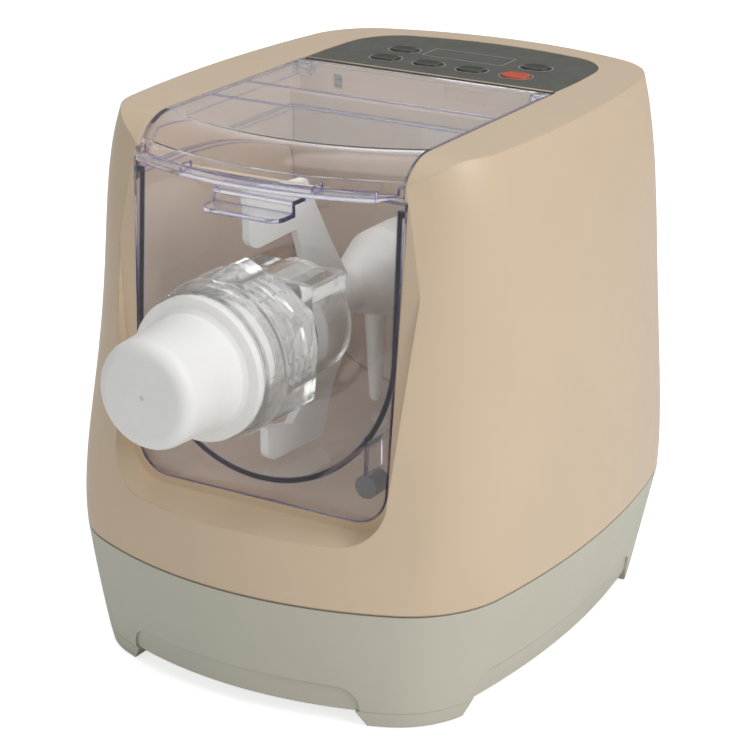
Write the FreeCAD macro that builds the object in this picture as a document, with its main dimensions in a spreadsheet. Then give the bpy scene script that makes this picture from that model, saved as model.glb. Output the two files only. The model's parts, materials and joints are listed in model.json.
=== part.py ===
"""Electric pasta maker: a kneading chamber with an auger nozzle on a geared motor drive.

Frame: millimetres, +Z up, the origin on the table under the middle of the machine's outline.
The nozzle points along -Y, and the drive axis runs along Y above the origin.
"""
import FreeCAD, Part
import math
import os

import Sketcher
from FreeCAD import Placement, Rotation, Vector

# Every size below is in millimetres, or in degrees where its name ends in _angle.
SIZES = {
    # Drive axis and the leaning front face
    "axis_height": 185.0,
    "window_y": -80.0,
    "lean_angle": 4.0,
    # Plan of the housing from its seam to its top: height, half width, front and rear
    "seam_height": 65.0,
    "seam_half_width": 127.6,
    "seam_front": -119.0,
    "seam_rear": 178.5,
    "waist_height": 140.0,
    "waist_half_width": 126.0,
    "waist_front": -107.5,
    "waist_rear": 176.0,
    "chest_height": 200.0,
    "chest_half_width": 122.0,
    "chest_front": -98.5,
    "chest_rear": 174.6,
    "shoulder_height": 250.0,
    "shoulder_half_width": 115.5,
    "shoulder_front": -91.0,
    "shoulder_rear": 172.6,
    "top_height": 281.0,
    "top_half_width": 108.0,
    "top_front": -86.5,
    "top_rear": 170.3,
    # Plan of the base under the seam
    "belly_height": 36.0,
    "belly_half_width": 121.5,
    "belly_front": -116.0,
    "belly_rear": 173.5,
    "skirt_height": 8.8,
    "skirt_half_width": 116.0,
    "skirt_front": -112.0,
    "skirt_rear": 167.5,
    # Bows and corners of those plans
    "widest_y": 25.0,
    "side_bow": 480.0,
    "top_side_bow": 620.0,
    "front_bow": 215.0,
    "rear_bow": 220.0,
    "front_corner": 58.0,
    "top_front_corner": 39.0,
    "belly_corner": 52.0,
    "skirt_corner": 48.0,
    "rear_corner": 50.0,
    "top_rear_corner": 42.0,
    "arch_depth": 1.2,
    "arch_top": 22.0,
    "arch_round": 11.0,
    "arch_half_width": 67.0,
    "shell_wall": 3.0,
    "seam_gap": 0.7,
    "nose_roll": 24.5,
    "nose_start": -52.7,
    # Recess round the window
    "bezel_low": 97.0,
    "bezel_low_half_width": 76.5,
    "bezel_top_half_width": 94.0,
    "bezel_flare": 13.0,
    "bezel_drop": 7.0,
    "bezel_corner": 20.0,
    "bezel_reach": 60.0,
    "bezel_wall": 3.0,
    # Window in the housing and the clear front plate that fills it
    "plate_low": 101.5,
    "plate_top": 261.0,
    "plate_low_half_width": 72.5,
    "plate_top_half_width": 77.0,
    "plate_corner": 18.0,
    "plate_thickness": 3.0,
    "plate_proud": 0.8,
    "window_gap": 0.6,
    # Chamber bay in the casing
    "bay_half_width": 77.8,
    "bay_wall": 2.0,
    "bay_floor": 98.6,
    "bay_corner": 18.0,
    "bay_rear": 66.0,
    "bay_step_height": 262.0,
    "bay_step_rear": 75.6,
    "bay_top": 278.0,
    "bay_boss_radius": 31.0,
    "bay_boss_height": 2.2,
    "bay_shaft_hole": 9.0,
    "bay_relief": 2.1,
    "bay_relief_rear": -67.8,
    "bay_relief_low": 249.0,
    "pocket_left": 11.0,
    "pocket_length": 24.0,
    "pocket_low": 266.5,
    "pocket_height": 7.0,
    "latch_left": -57.0,
    "latch_width": 6.0,
    "latch_low": 264.5,
    "latch_height": 7.5,
    # Clear mixing chamber
    "trough_radius": 74.4,
    "trough_wall": 2.5,
    "trough_rear": 62.0,
    "trough_top": 257.0,
    "rim_width": 2.4,
    "rim_height": 3.0,
    "chamber_seal_radius": 13.0,
    "tab_half_width": 22.5,
    "tab_low": 249.0,
    "tab_drop": 8.0,
    "tab_wall": 2.2,
    "tab_neck": 9.0,
    "tab_reach": 15.0,
    "gusset_wall": 2.0,
    "bumper_radius": 6.0,
    "bumper_across": 60.0,
    "bumper_height": 119.5,
    "bumper_length": 12.0,
    # Clear barrel through the front plate
    "barrel_bore": 25.3,
    "barrel_half_square": 26.5,
    "barrel_corner": 2.5,
    "barrel_round": 29.5,
    "barrel_lip": 28.2,
    "barrel_rear": -45.0,
    "barrel_outer": 33.0,
    "barrel_front": -120.4,
    "barrel_thread_pitch": 5.0,
    "barrel_thread_height": 0.8,
    # Auger and stirring bar
    "auger_radius": 24.7,
    "auger_core": 8.0,
    "auger_tip_core": 6.0,
    "auger_pitch": 26.0,
    "auger_flight": 3.2,
    "auger_front": -117.5,
    "hub_radius": 11.5,
    "hub_front": -38.0,
    "hub_flare_start": -2.0,
    "hub_flare_end": 34.0,
    "hub_collar": 23.5,
    "hub_rear": 58.9,
    "journal_radius": 9.5,
    "journal_rear": 63.4,
    "blade_thickness": 5.0,
    "blade_root_y": -20.0,
    "blade_reach": 52.5,
    "blade_top": 67.0,
    "blade_bottom": 69.5,
    "blade_tip_round": 6.0,
    "blade_skew": 16.0,
    "lower_blade_skew": 5.0,
    "finger_y": 26.0,
    "finger_root": 6.5,
    "finger_tip": 3.1,
    "finger_length": 66.0,
    # Die, ring nut and nozzle cap
    "die_radius": 33.2,
    "die_front": -127.0,
    "die_slot_circle": 15.0,
    "die_slot_radius": 2.2,
    "die_slot_count": 6.0,
    "nut_bore": 34.2,
    "nut_rear": -92.0,
    "nut_step": -120.5,
    "nut_front": -131.6,
    "nut_radius": 38.0,
    "nut_rib_height": 0.9,
    "nut_rib_count": 5.0,
    "nut_nose": 36.0,
    "nut_lip_bore": 29.6,
    "nut_lobe": 42.4,
    "nut_lobe_foot": 34.8,
    "nut_lobe_half_width": 16.2,
    "nut_lobe_full": -98.0,
    "nut_lobe_count": 6.0,
    "cap_flange": 35.2,
    "cap_flange_length": 4.6,
    "cap_root": 29.2,
    "cap_end": 26.6,
    "cap_tip": -178.5,
    "cap_round": 7.0,
    "cap_wall": 2.4,
    "cap_spigot_length": 1.6,
    # Lid
    "lid_half_width": 75.2,
    "lid_wall": 2.5,
    "lid_flat_front": -68.4,
    "lid_bow": 150.0,
    "lid_roll_run": 20.0,
    "lid_cheek": -68.0,
    "lid_rib_front": -13.5,
    "lid_rib_rear": 18.5,
    "lid_rear": 72.3,
    "lid_skirt": 9.0,
    "lid_gap": 0.5,
    "lip_low": 262.4,
    "lip_height": 5.4,
    "lip_width": 8.6,
    "lip_edge": 1.6,
    "lip_side_y": -66.0,
    "lip_corner": 9.0,
    "lip_groove": 3.6,
    "lip_rib_across": 37.0,
    "hinge_y": 69.0,
    "hinge_height": 275.8,
    "hinge_knuckle": 4.4,
    "hinge_pin": 2.0,
    "hinge_length": 9.0,
    # Control panel, display and buttons
    "panel_front": 76.2,
    "panel_half_width": 74.5,
    "panel_rear": 156.0,
    "panel_side_y": 112.0,
    "panel_side_bow": 320.0,
    "panel_rear_bow": 210.0,
    "panel_corner": 26.0,
    "panel_thickness": 2.3,
    "panel_sunk": 0.3,
    "recess_gap": 0.35,
    "backing_margin": 2.0,
    "recess_well_half_width": 58.0,
    "recess_well_front": 84.0,
    "recess_well_rear": 142.0,
    "button_half_length": 7.8,
    "button_half_width": 5.4,
    "button_gap": 0.35,
    "button_proud": 0.9,
    "button_depth": 4.9,
    "button_flange": 1.2,
    "button_travel": 1.0,
    "front_row_y": 97.5,
    "back_row_y": 118.6,
    "button_pitch": 26.2,
    "back_button_left": -38.0,
    "back_button_right": 42.0,
    "display_half_width": 22.5,
    "display_low_y": 115.0,
    "display_high_y": 128.5,
    "display_gap": 0.1,
    "board_height": 266.0,
    "board_thickness": 1.6,
    "switch_size": 6.0,
    "switch_body": 3.6,
    # Gearbox
    "case_half_width": 43.0,
    "case_low": 97.5,
    "case_high": 228.0,
    "case_wall": 3.0,
    "case_depth": 40.0,
    "bearing_radius": 10.0,
    "bearing_length": 7.0,
    "shaft_radius": 6.0,
    "running_gap": 0.05,
    "coupler_flats": 13.0,
    "coupler_front": 44.0,
    "coupler_gap": 0.35,
    "large_module": 1.5,
    "small_module": 1.0,
    "output_teeth": 48.0,
    "pinion_teeth": 12.0,
    "wheel_teeth": 44.0,
    "motor_teeth": 11.0,
    "gear_width": 11.0,
    "wheel_width": 7.0,
    "tooth_slack": 0.22,
    "gear_hub": 13.0,
    "idler_axle": 3.0,
    "post_radius": 4.0,
    "screw_radius": 1.6,
    "screw_head": 3.2,
    "screw_head_height": 2.0,
    # Motor and its fan
    "motor_radius": 30.0,
    "motor_length": 38.0,
    "motor_nose": 9.0,
    "motor_nose_length": 2.5,
    "motor_shaft": 2.5,
    "fan_radius": 24.0,
    "fan_hub": 7.0,
    "fan_thickness": 6.0,
    "fan_blade": 1.6,
    "fan_blade_count": 7.0,
    "fan_gap": 2.5,
    "cradle_half_width": 22.0,
    "cradle_length": 22.0,
    "cradle_wall": 3.0,
    # Bottom plate, feet and electronics on it
    "plate_wall": 2.5,
    "fit_gap": 0.25,
    "foot_clear": 0.8,
    "foot_front": -101.0,
    "foot_front_rear": -66.0,
    "foot_inner": 70.0,
    "foot_rear": 116.0,
    "foot_rear_end": 151.0,
    "foot_slope": 5.0,
    "pad_radius": 6.0,
    "pad_across": 84.0,
    "pad_front_y": -77.0,
    "pad_rear_y": 129.0,
    "supply_half_width": 62.0,
    "supply_front": -60.0,
    "supply_rear": 55.0,
    "supply_height": 22.0,
    "supply_inset": 7.0,
    "coil_side": 30.0,
    "coil_height": 26.0,
    "capacitor_radius": 9.0,
    "capacitor_height": 32.0,
    "inlet_height": 40.0,
    "inlet_across": 45.0,
    "inlet_radius": 6.0,
    "inlet_flange": 9.0,
    "inlet_bore": 3.6,
    "inlet_flange_length": 2.0,
    "lid_switch_length": 20.0,
    "lid_switch_depth": 6.4,
    "lid_switch_height": 10.0,
    "lid_switch_across": 30.0,
}

doc = FreeCAD.newDocument("PastaMaker")
sheet = doc.addObject("Spreadsheet::Sheet", "Sizes")
for row, (alias, number) in enumerate(SIZES.items(), start=1):
    sheet.set(f"A{row}", alias)
    sheet.set(f"B{row}", str(number))
    sheet.setAlias(f"B{row}", alias)
doc.recompute()


class Size:
    """A size that knows its number and the words that give it in the document."""

    def __init__(self, number, words):
        self.number = float(number)
        self.words = words

    @staticmethod
    def of(value):
        """Return value as a Size."""
        if isinstance(value, Size):
            return value
        return Size(value, f"({float(value)})")

    def join(self, other, sign, number):
        """Return the Size that joins this one and another by a sign."""
        return Size(number, f"({self.words} {sign} {Size.of(other).words})")

    def __add__(self, other):
        return self.join(other, "+", self.number + Size.of(other).number)

    def __sub__(self, other):
        return self.join(other, "-", self.number - Size.of(other).number)

    def __mul__(self, other):
        return self.join(other, "*", self.number * Size.of(other).number)

    def __truediv__(self, other):
        return self.join(other, "/", self.number / Size.of(other).number)

    def __radd__(self, other):
        return Size.of(other) + self

    def __rsub__(self, other):
        return Size.of(other) - self

    def __rmul__(self, other):
        return Size.of(other) * self

    def __neg__(self):
        return Size(-self.number, f"(0 - {self.words})")

    def sine(self):
        """Return the sine of this angle in degrees."""
        return Size(math.sin(math.radians(self.number)), f"sin({self.words} * 1deg)")

    def cosine(self):
        """Return the cosine of this angle in degrees."""
        return Size(math.cos(math.radians(self.number)), f"cos({self.words} * 1deg)")

    def tangent(self):
        """Return the tangent of this angle in degrees."""
        return Size(math.tan(math.radians(self.number)), f"tan({self.words} * 1deg)")

    def root(self):
        """Return the square root of this size."""
        return Size(math.sqrt(self.number), f"sqrt({self.words})")


class Sheet:
    """The driving dimensions as attributes."""

    def __getattr__(self, alias):
        return Size(SIZES[alias], f"Sizes.{alias}")


S = Sheet()
ZERO = Size(0, "0")
SQUARE_ROOT_3 = math.sqrt(3)
pieces = {}
bodies = {}


def bind(thing, field, value):
    """Tie a field of a document object to a size."""
    size = Size.of(value)
    thing.setExpression(field, size.words)


def piece(label, thing):
    """Name a finished sub-part."""
    thing.Label = label
    pieces[label] = thing
    return thing


def place(thing, corner, rotation=None):
    """Put a document object at a corner given as three sizes."""
    corner = [Size.of(value) for value in corner]
    turn = rotation or Rotation()
    thing.Placement = Placement(Vector(*[value.number for value in corner]), turn)
    for letter, value in zip("xyz", corner):
        if value.number != 0 or value.words != "0":
            bind(thing, f"Placement.Base.{letter}", value)


def box(name, across, along, up):
    """Make a box from its spans in X, Y and Z."""
    thing = doc.addObject("Part::Box", name)
    for field, span in zip(("Length", "Width", "Height"), (across, along, up)):
        extent = Size.of(span[1]) - span[0]
        setattr(thing, field, extent.number)
        bind(thing, field, extent)
    place(thing, (across[0], along[0], up[0]))
    return thing


AXIS_TURNS = {
    "x": Rotation(Vector(0, 1, 0), 90),
    "y": Rotation(Vector(1, 0, 0), -90),
    "z": Rotation(),
}


def cylinder(name, axis, radius, foot, length):
    """Make a cylinder from its axis letter, radius, foot centre and length."""
    thing = doc.addObject("Part::Cylinder", name)
    thing.Radius = Size.of(radius).number
    thing.Height = Size.of(length).number
    bind(thing, "Radius", radius)
    bind(thing, "Height", length)
    place(thing, foot, AXIS_TURNS[axis])
    return thing


def cone(name, axis, foot_radius, tip_radius, foot, length, turn=None):
    """Make a cone from its foot radius to its tip radius."""
    thing = doc.addObject("Part::Cone", name)
    thing.Radius1 = Size.of(foot_radius).number
    thing.Radius2 = Size.of(tip_radius).number
    thing.Height = Size.of(length).number
    bind(thing, "Radius1", foot_radius)
    bind(thing, "Radius2", tip_radius)
    bind(thing, "Height", length)
    place(thing, foot, turn or AXIS_TURNS[axis])
    return thing


def fuse(name, things):
    """Join solids into one."""
    joined = doc.addObject("Part::MultiFuse", name)
    joined.Shapes = things
    joined.Refine = True
    return joined


def cut(name, base, tools):
    """Take tools away from a base."""
    tool = tools[0]
    if len(tools) > 1:
        tool = doc.addObject("Part::Compound", f"{name}_tools")
        tool.Links = tools
    result = doc.addObject("Part::Cut", name)
    result.Base = base
    result.Tool = tool
    return result


def common(name, things):
    """Keep what two solids share."""
    result = doc.addObject("Part::MultiCommon", name)
    result.Shapes = things
    return result


def group(name, things):
    """Hold separate solids in one piece."""
    result = doc.addObject("Part::Compound", name)
    result.Links = things
    return result


def new_body(name):
    """Start a body and remember its origin planes."""
    body = doc.addObject("PartDesign::Body", name)
    bodies[body.Name] = {feature.Role: feature for feature in body.Origin.OriginFeatures}
    return body


def new_sketch(body, name, plane, offset, lean=False):
    """Start a sketch on an origin plane of its body, moved by an offset of three sizes."""
    sketch = body.newObject("Sketcher::SketchObject", name)
    sketch.AttachmentSupport = [(bodies[body.Name][plane], "")]
    sketch.MapMode = "FlatFace"
    offset = [Size.of(value) for value in offset]
    turn = Rotation(Vector(-1, 0, 0), S.lean_angle.number) if lean else Rotation()
    sketch.AttachmentOffset = Placement(Vector(*[value.number for value in offset]), turn)
    for letter, value in zip("xyz", offset):
        if value.number != 0 or value.words != "0":
            bind(sketch, f"AttachmentOffset.Base.{letter}", value)
    if lean:
        bind(sketch, "AttachmentOffset.Rotation.Angle", S.lean_angle)
    return sketch


def leaning_offset(forward):
    """Return the offset of a plane that lies forward of the leaning window plane."""
    forward = Size.of(forward)
    up = S.axis_height + forward * S.lean_angle.sine()
    return ZERO, up, forward * S.lean_angle.cosine() - S.window_y


def arc_between(start, end, radius, turn):
    """Return the short arc from start to end; turn 1 runs it anticlockwise."""
    chord = end - start
    rise = math.sqrt(max(radius ** 2 - (chord.Length / 2) ** 2, 0))
    side = Vector(-chord.y, chord.x, 0)
    side.normalize()
    centre = (start + end) * 0.5 + side * rise * turn
    first, last = (start, end) if turn > 0 else (end, start)
    angles = [math.atan2(point.y - centre.y, point.x - centre.x) for point in (first, last)]
    return Part.ArcOfCircle(Part.Circle(centre, Vector(0, 0, 1), radius), angles[0], angles[1])


def draw_path(sketch, points, bends=None):
    """Draw a closed path; bends maps a point's index to the arc that leaves it."""
    bends = bends or {}
    first = sketch.GeometryCount
    points = [(Size.of(x), Size.of(y)) for x, y in points]
    spots = [Vector(x.number, y.number, 0) for x, y in points]
    ends = []
    for index, spot in enumerate(spots):
        after = spots[(index + 1) % len(spots)]
        if index in bends:
            radius, turn = bends[index]
            sketch.addGeometry(arc_between(spot, after, Size.of(radius).number, turn), False)
            ends.append((1, 2) if turn > 0 else (2, 1))
        else:
            sketch.addGeometry(Part.LineSegment(spot, after), False)
            ends.append((1, 2))
    rules = []
    ties = []
    for index, (x, y) in enumerate(points):
        edge = first + index
        before = first + (index - 1) % len(points)
        rules.append(Sketcher.Constraint("Coincident", before, ends[index - 1][1], edge, ends[index][0]))
        ties.append((len(rules), x))
        rules.append(Sketcher.Constraint("DistanceX", -1, 1, edge, ends[index][0], x.number))
        ties.append((len(rules), y))
        rules.append(Sketcher.Constraint("DistanceY", -1, 1, edge, ends[index][0], y.number))
        if index in bends:
            radius = Size.of(bends[index][0])
            ties.append((len(rules), radius))
            rules.append(Sketcher.Constraint("Radius", edge, radius.number))
    start = sketch.ConstraintCount
    sketch.addConstraint(rules)
    for offset, value in ties:
        bind(sketch, f"Constraints[{start + offset}]", value)


def draw_circle(sketch, centre, radius):
    """Draw a circle from its centre and radius."""
    edge = sketch.GeometryCount
    x, y, radius = [Size.of(value) for value in (*centre, radius)]
    sketch.addGeometry(Part.Circle(Vector(x.number, y.number, 0), Vector(0, 0, 1), radius.number), False)
    start = sketch.ConstraintCount
    rules = [
        Sketcher.Constraint("Radius", edge, radius.number),
        Sketcher.Constraint("DistanceX", -1, 1, edge, 3, x.number),
        Sketcher.Constraint("DistanceY", -1, 1, edge, 3, y.number),
    ]
    sketch.addConstraint(rules)
    for offset, value in enumerate((radius, x, y)):
        bind(sketch, f"Constraints[{start + offset}]", value)


class Plan:
    """A closed outline of eight tangent arcs, alike on its left and right."""

    def __init__(self, height, half_width, front, rear, side_bow, front_corner, rear_corner=None):
        self.height = height
        self.half_width = half_width
        self.front = front
        self.rear = rear
        self.side_bow = side_bow
        self.front_bow = S.front_bow
        self.rear_bow = S.rear_bow
        self.front_corner = front_corner
        self.rear_corner = rear_corner or S.rear_corner

    def inset(self, wall, height=None):
        """Return the plan a wall's thickness further in."""
        inner = Plan(
            height or self.height,
            self.half_width - wall,
            self.front + wall,
            self.rear - wall,
            self.side_bow - wall,
            self.front_corner - wall,
            self.rear_corner - wall,
        )
        inner.front_bow = self.front_bow - wall
        inner.rear_bow = self.rear_bow - wall
        return inner

    def corner_centre(self, end_centre, end_bow, corner):
        """Return the centre of a right corner arc that touches an end bow and the side bow."""
        side_bow = self.side_bow.number
        side_centre = Vector(self.half_width.number - side_bow, S.widest_y.number, 0)
        reach_end = end_bow - corner
        reach_side = side_bow - corner
        across = end_centre - side_centre
        span = across.Length
        along = (reach_side ** 2 - reach_end ** 2 + span ** 2) / (2 * span)
        rise = math.sqrt(max(reach_side ** 2 - along ** 2, 0))
        unit = across * (1 / span)
        foot = side_centre + unit * along
        options = [foot + Vector(-unit.y, unit.x, 0) * rise * sign for sign in (1, -1)]
        return max(options, key=lambda spot: spot.x)

    def draw(self, sketch):
        """Draw the eight arcs and tie their radii and centres to the sizes."""
        front_centre = Vector(0, self.front.number + self.front_bow.number, 0)
        rear_centre = Vector(0, self.rear.number - self.rear_bow.number, 0)
        side_x = self.half_width.number - self.side_bow.number
        right_side = Vector(side_x, S.widest_y.number, 0)
        left_side = Vector(-side_x, S.widest_y.number, 0)
        front_right = self.corner_centre(front_centre, self.front_bow.number, self.front_corner.number)
        rear_right = self.corner_centre(rear_centre, self.rear_bow.number, self.rear_corner.number)
        front_left = Vector(-front_right.x, front_right.y, 0)
        rear_left = Vector(-rear_right.x, rear_right.y, 0)
        arcs = [
            (front_centre, self.front_bow),
            (front_right, self.front_corner),
            (right_side, self.side_bow),
            (rear_right, self.rear_corner),
            (rear_centre, self.rear_bow),
            (rear_left, self.rear_corner),
            (left_side, self.side_bow),
            (front_left, self.front_corner),
        ]
        joins = []
        for index, (centre, radius) in enumerate(arcs):
            after, after_radius = arcs[(index + 1) % len(arcs)]
            big, big_radius, small = (centre, radius, after)
            if after_radius.number > radius.number:
                big, big_radius, small = (after, after_radius, centre)
            way = small - big
            way.normalize()
            joins.append(big + way * big_radius.number)
        for index, (centre, radius) in enumerate(arcs):
            angles = [math.atan2(spot.y - centre.y, spot.x - centre.x) for spot in (joins[index - 1], joins[index])]
            circle = Part.Circle(centre, Vector(0, 0, 1), radius.number)
            sketch.addGeometry(Part.ArcOfCircle(circle, angles[0], angles[1]), False)
        rules = [Sketcher.Constraint("Tangent", edge, 2, (edge + 1) % 8, 1) for edge in range(8)]
        rules += [Sketcher.Constraint("PointOnObject", edge, 3, -2) for edge in (0, 4)]
        ties = []
        for edge, (centre, radius) in enumerate(arcs):
            ties.append((len(rules), radius))
            rules.append(Sketcher.Constraint("Radius", edge, radius.number))
        spots = {
            0: (None, self.front + self.front_bow),
            4: (None, self.rear - self.rear_bow),
            2: (self.half_width - self.side_bow, S.widest_y),
            6: (self.side_bow - self.half_width, S.widest_y),
        }
        for edge, (x, y) in spots.items():
            if x is not None:
                ties.append((len(rules), x))
                rules.append(Sketcher.Constraint("DistanceX", -1, 1, edge, 3, x.number))
            ties.append((len(rules), y))
            rules.append(Sketcher.Constraint("DistanceY", -1, 1, edge, 3, y.number))
        sketch.addConstraint(rules)
        for offset, value in ties:
            bind(sketch, f"Constraints[{offset}]", value)


def plan_loft(name, plans):
    """Loft a body through plans at rising heights."""
    body = new_body(name)
    sketches = []
    for index, plan in enumerate(plans):
        sketch = new_sketch(body, f"{name}_plan_{index}", "XY_Plane", (ZERO, ZERO, plan.height))
        plan.draw(sketch)
        sketches.append(sketch)
    loft = body.newObject("PartDesign::AdditiveLoft", f"{name}_loft")
    loft.Profile = sketches[0]
    loft.Sections = sketches[1:]
    loft.Ruled = False
    body.Tip = loft
    return body


def plan_pad(name, plan, length):
    """Pad a plan upwards."""
    body = new_body(name)
    sketch = new_sketch(body, f"{name}_plan", "XY_Plane", (ZERO, ZERO, plan.height))
    plan.draw(sketch)
    pad = body.newObject("PartDesign::Pad", f"{name}_pad")
    pad.Profile = sketch
    pad.Length = Size.of(length).number
    bind(pad, "Length", length)
    body.Tip = pad
    return body


def path_pad(name, plane, offset, length, paths, circles=(), both_ways=False, lean=False):
    """Pad closed paths and round holes drawn on one plane."""
    body = new_body(name)
    sketch = new_sketch(body, f"{name}_sketch", plane, offset, lean)
    for points, bends in paths:
        draw_path(sketch, points, bends)
    for centre, radius in circles:
        draw_circle(sketch, centre, radius)
    pad = body.newObject("PartDesign::Pad", f"{name}_pad")
    pad.Profile = sketch
    pad.Length = Size.of(length).number
    bind(pad, "Length", length)
    if both_ways:
        pad.SideType = "Symmetric"
    body.Tip = pad
    return body


def axis_turned(name, points, bends=None):
    """Revolve a closed path of (radius, y) points about the drive axis."""
    body = new_body(name)
    sketch = new_sketch(body, f"{name}_sketch", "XY_Plane", (ZERO, ZERO, S.axis_height))
    draw_path(sketch, points, bends)
    turned = body.newObject("PartDesign::Revolution", f"{name}_turned")
    turned.Profile = sketch
    turned.ReferenceAxis = (sketch, ["V_Axis"])
    turned.Angle = 360
    body.Tip = turned
    return body


def ring(name, outer, inner, rear, front, height=None):
    """Make a ring along Y from its front to its rear."""
    centre = S.axis_height if height is None else height
    length = Size.of(rear) - front
    outside = cylinder(f"{name}_outside", "y", outer, (ZERO, front, centre), length)
    inside = cylinder(f"{name}_bore", "y", inner, (ZERO, front, centre), length)
    return cut(name, outside, [inside])


def rounded_box_path(half_width, low, high, radius):
    """Return an upright rounded rectangle's points and bends."""
    points = [
        (-half_width + radius, low),
        (half_width - radius, low),
        (half_width, low + radius),
        (half_width, high - radius),
        (half_width - radius, high),
        (-half_width + radius, high),
        (-half_width, high - radius),
        (-half_width, low + radius),
    ]
    bends = {1: (radius, 1), 3: (radius, 1), 5: (radius, 1), 7: (radius, 1)}
    return points, bends


def tray_path(low_half_width, top_half_width, low, high, radius):
    """Return a path with round lower corners whose sides widen towards a flat top."""
    points = [
        (-low_half_width + radius, low),
        (low_half_width - radius, low),
        (low_half_width, low + radius),
        (top_half_width, high),
        (-top_half_width, high),
        (-low_half_width, low + radius),
    ]
    return points, {1: (radius, 1), 5: (radius, 1)}


def window_plane_y(height, behind=0):
    """Return y on the leaning window plane at a height, moved back by a distance."""
    return S.window_y + (Size.of(height) - S.axis_height) * S.lean_angle.tangent() + behind


def housing_plans():
    """Return the housing's plans from the seam to the top."""
    rows = [
        (S.seam_height, S.seam_half_width, S.seam_front, S.seam_rear, S.side_bow, S.front_corner),
        (S.waist_height, S.waist_half_width, S.waist_front, S.waist_rear, S.side_bow, S.front_corner),
        (S.chest_height, S.chest_half_width, S.chest_front, S.chest_rear, S.side_bow, S.front_corner),
        (S.shoulder_height, S.shoulder_half_width, S.shoulder_front, S.shoulder_rear, S.top_side_bow,
         S.top_front_corner),
        (S.top_height, S.top_half_width, S.top_front, S.top_rear, S.top_side_bow, S.top_front_corner,
         S.top_rear_corner),
    ]
    return [Plan(*row) for row in rows]


def base_plans():
    """Return the base's plans from its skirt to the seam."""
    rows = [
        (S.skirt_height, S.skirt_half_width, S.skirt_front, S.skirt_rear, S.side_bow, S.skirt_corner),
        (S.belly_height, S.belly_half_width, S.belly_front, S.belly_rear, S.side_bow, S.belly_corner),
        (S.seam_height, S.seam_half_width, S.seam_front, S.seam_rear, S.side_bow, S.front_corner),
    ]
    return [Plan(*row) for row in rows]


def nose_tool(name, inset):
    """Make the tool that rounds the top front edge, moved in by a wall."""
    top = S.top_height - inset
    centre_z = S.top_height - S.nose_roll
    radius = S.nose_roll - inset
    far = S.seam_front - S.nose_roll
    points = [
        (S.nose_start, top),
        (S.nose_start, top + S.nose_roll),
        (far, top + S.nose_roll),
        (far, centre_z),
        (S.nose_start - radius, centre_z),
    ]
    width = S.seam_half_width * 3
    return path_pad(name, "YZ_Plane", (ZERO, ZERO, ZERO), width, [(points, {4: (radius, -1)})], (), True)


def bezel_loft(name, wall):
    """Make the flared space in front of the window, thickened by a wall."""
    body = new_body(name)
    low = S.bezel_low - S.axis_height
    high = S.top_height + S.nose_roll - S.axis_height
    sketches = []
    for index, forward in enumerate((-Size.of(wall), S.bezel_reach)):
        grow = S.bezel_flare * index + wall
        drop = S.bezel_drop * index + wall
        sketch = new_sketch(body, f"{name}_face_{index}", "XZ_Plane", leaning_offset(forward), True)
        path = tray_path(S.bezel_low_half_width + grow, S.bezel_top_half_width + grow, low - drop, high,
                         S.bezel_corner + grow)
        draw_path(sketch, *path)
        sketches.append(sketch)
    loft = body.newObject("PartDesign::AdditiveLoft", f"{name}_loft")
    loft.Profile = sketches[0]
    loft.Sections = sketches[1:]
    loft.Ruled = True
    body.Tip = loft
    return body


def panel_path(grow):
    """Return the control panel's outline, grown by a gap."""
    half = S.panel_half_width + grow
    side = S.panel_half_width + grow
    rear = S.panel_rear + grow
    corner = S.panel_corner + grow
    shoulder_y = rear - corner * 1.3
    shoulder_x = half - corner * 1.05
    shoulder_rear = rear - corner * 0.22
    points = [
        (-side, S.panel_front - grow),
        (side, S.panel_front - grow),
        (side - 1, shoulder_y),
        (shoulder_x, shoulder_rear),
        (-shoulder_x, shoulder_rear),
        (1 - side, shoulder_y),
    ]
    bends = {
        1: (S.panel_side_bow, 1),
        2: (corner * 1.15, 1),
        3: (S.panel_rear_bow, 1),
        4: (corner * 1.15, 1),
        5: (S.panel_side_bow, 1),
    }
    return points, bends


def stadium_path(centre, half_length, half_width):
    """Return a slot shape with round ends along X."""
    x, y = [Size.of(value) for value in centre]
    straight = half_length - half_width
    points = [
        (x - straight, y - half_width),
        (x + straight, y - half_width),
        (x + straight + half_width, y),
        (x + straight, y + half_width),
        (x - straight, y + half_width),
        (x - straight - half_width, y),
    ]
    bends = {1: (half_width, 1), 2: (half_width, 1), 4: (half_width, 1), 5: (half_width, 1)}
    return points, bends


BUTTONS = {
    "button_menu": (S.button_pitch * -1.5 + 2, S.front_row_y),
    "button_minus": (S.button_pitch * -0.5 + 2, S.front_row_y),
    "button_plus": (S.button_pitch * 0.5 + 2, S.front_row_y),
    "button_start": (S.button_pitch * 1.5 + 2, S.front_row_y),
    "button_timer": (S.back_button_left, S.back_row_y),
    "button_weigh": (S.back_button_right, S.back_row_y),
}


def board_front():
    """Return the front edge of the control board, clear of the bay's rear wall."""
    return S.bay_step_rear + S.bay_wall + S.fit_gap


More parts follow.
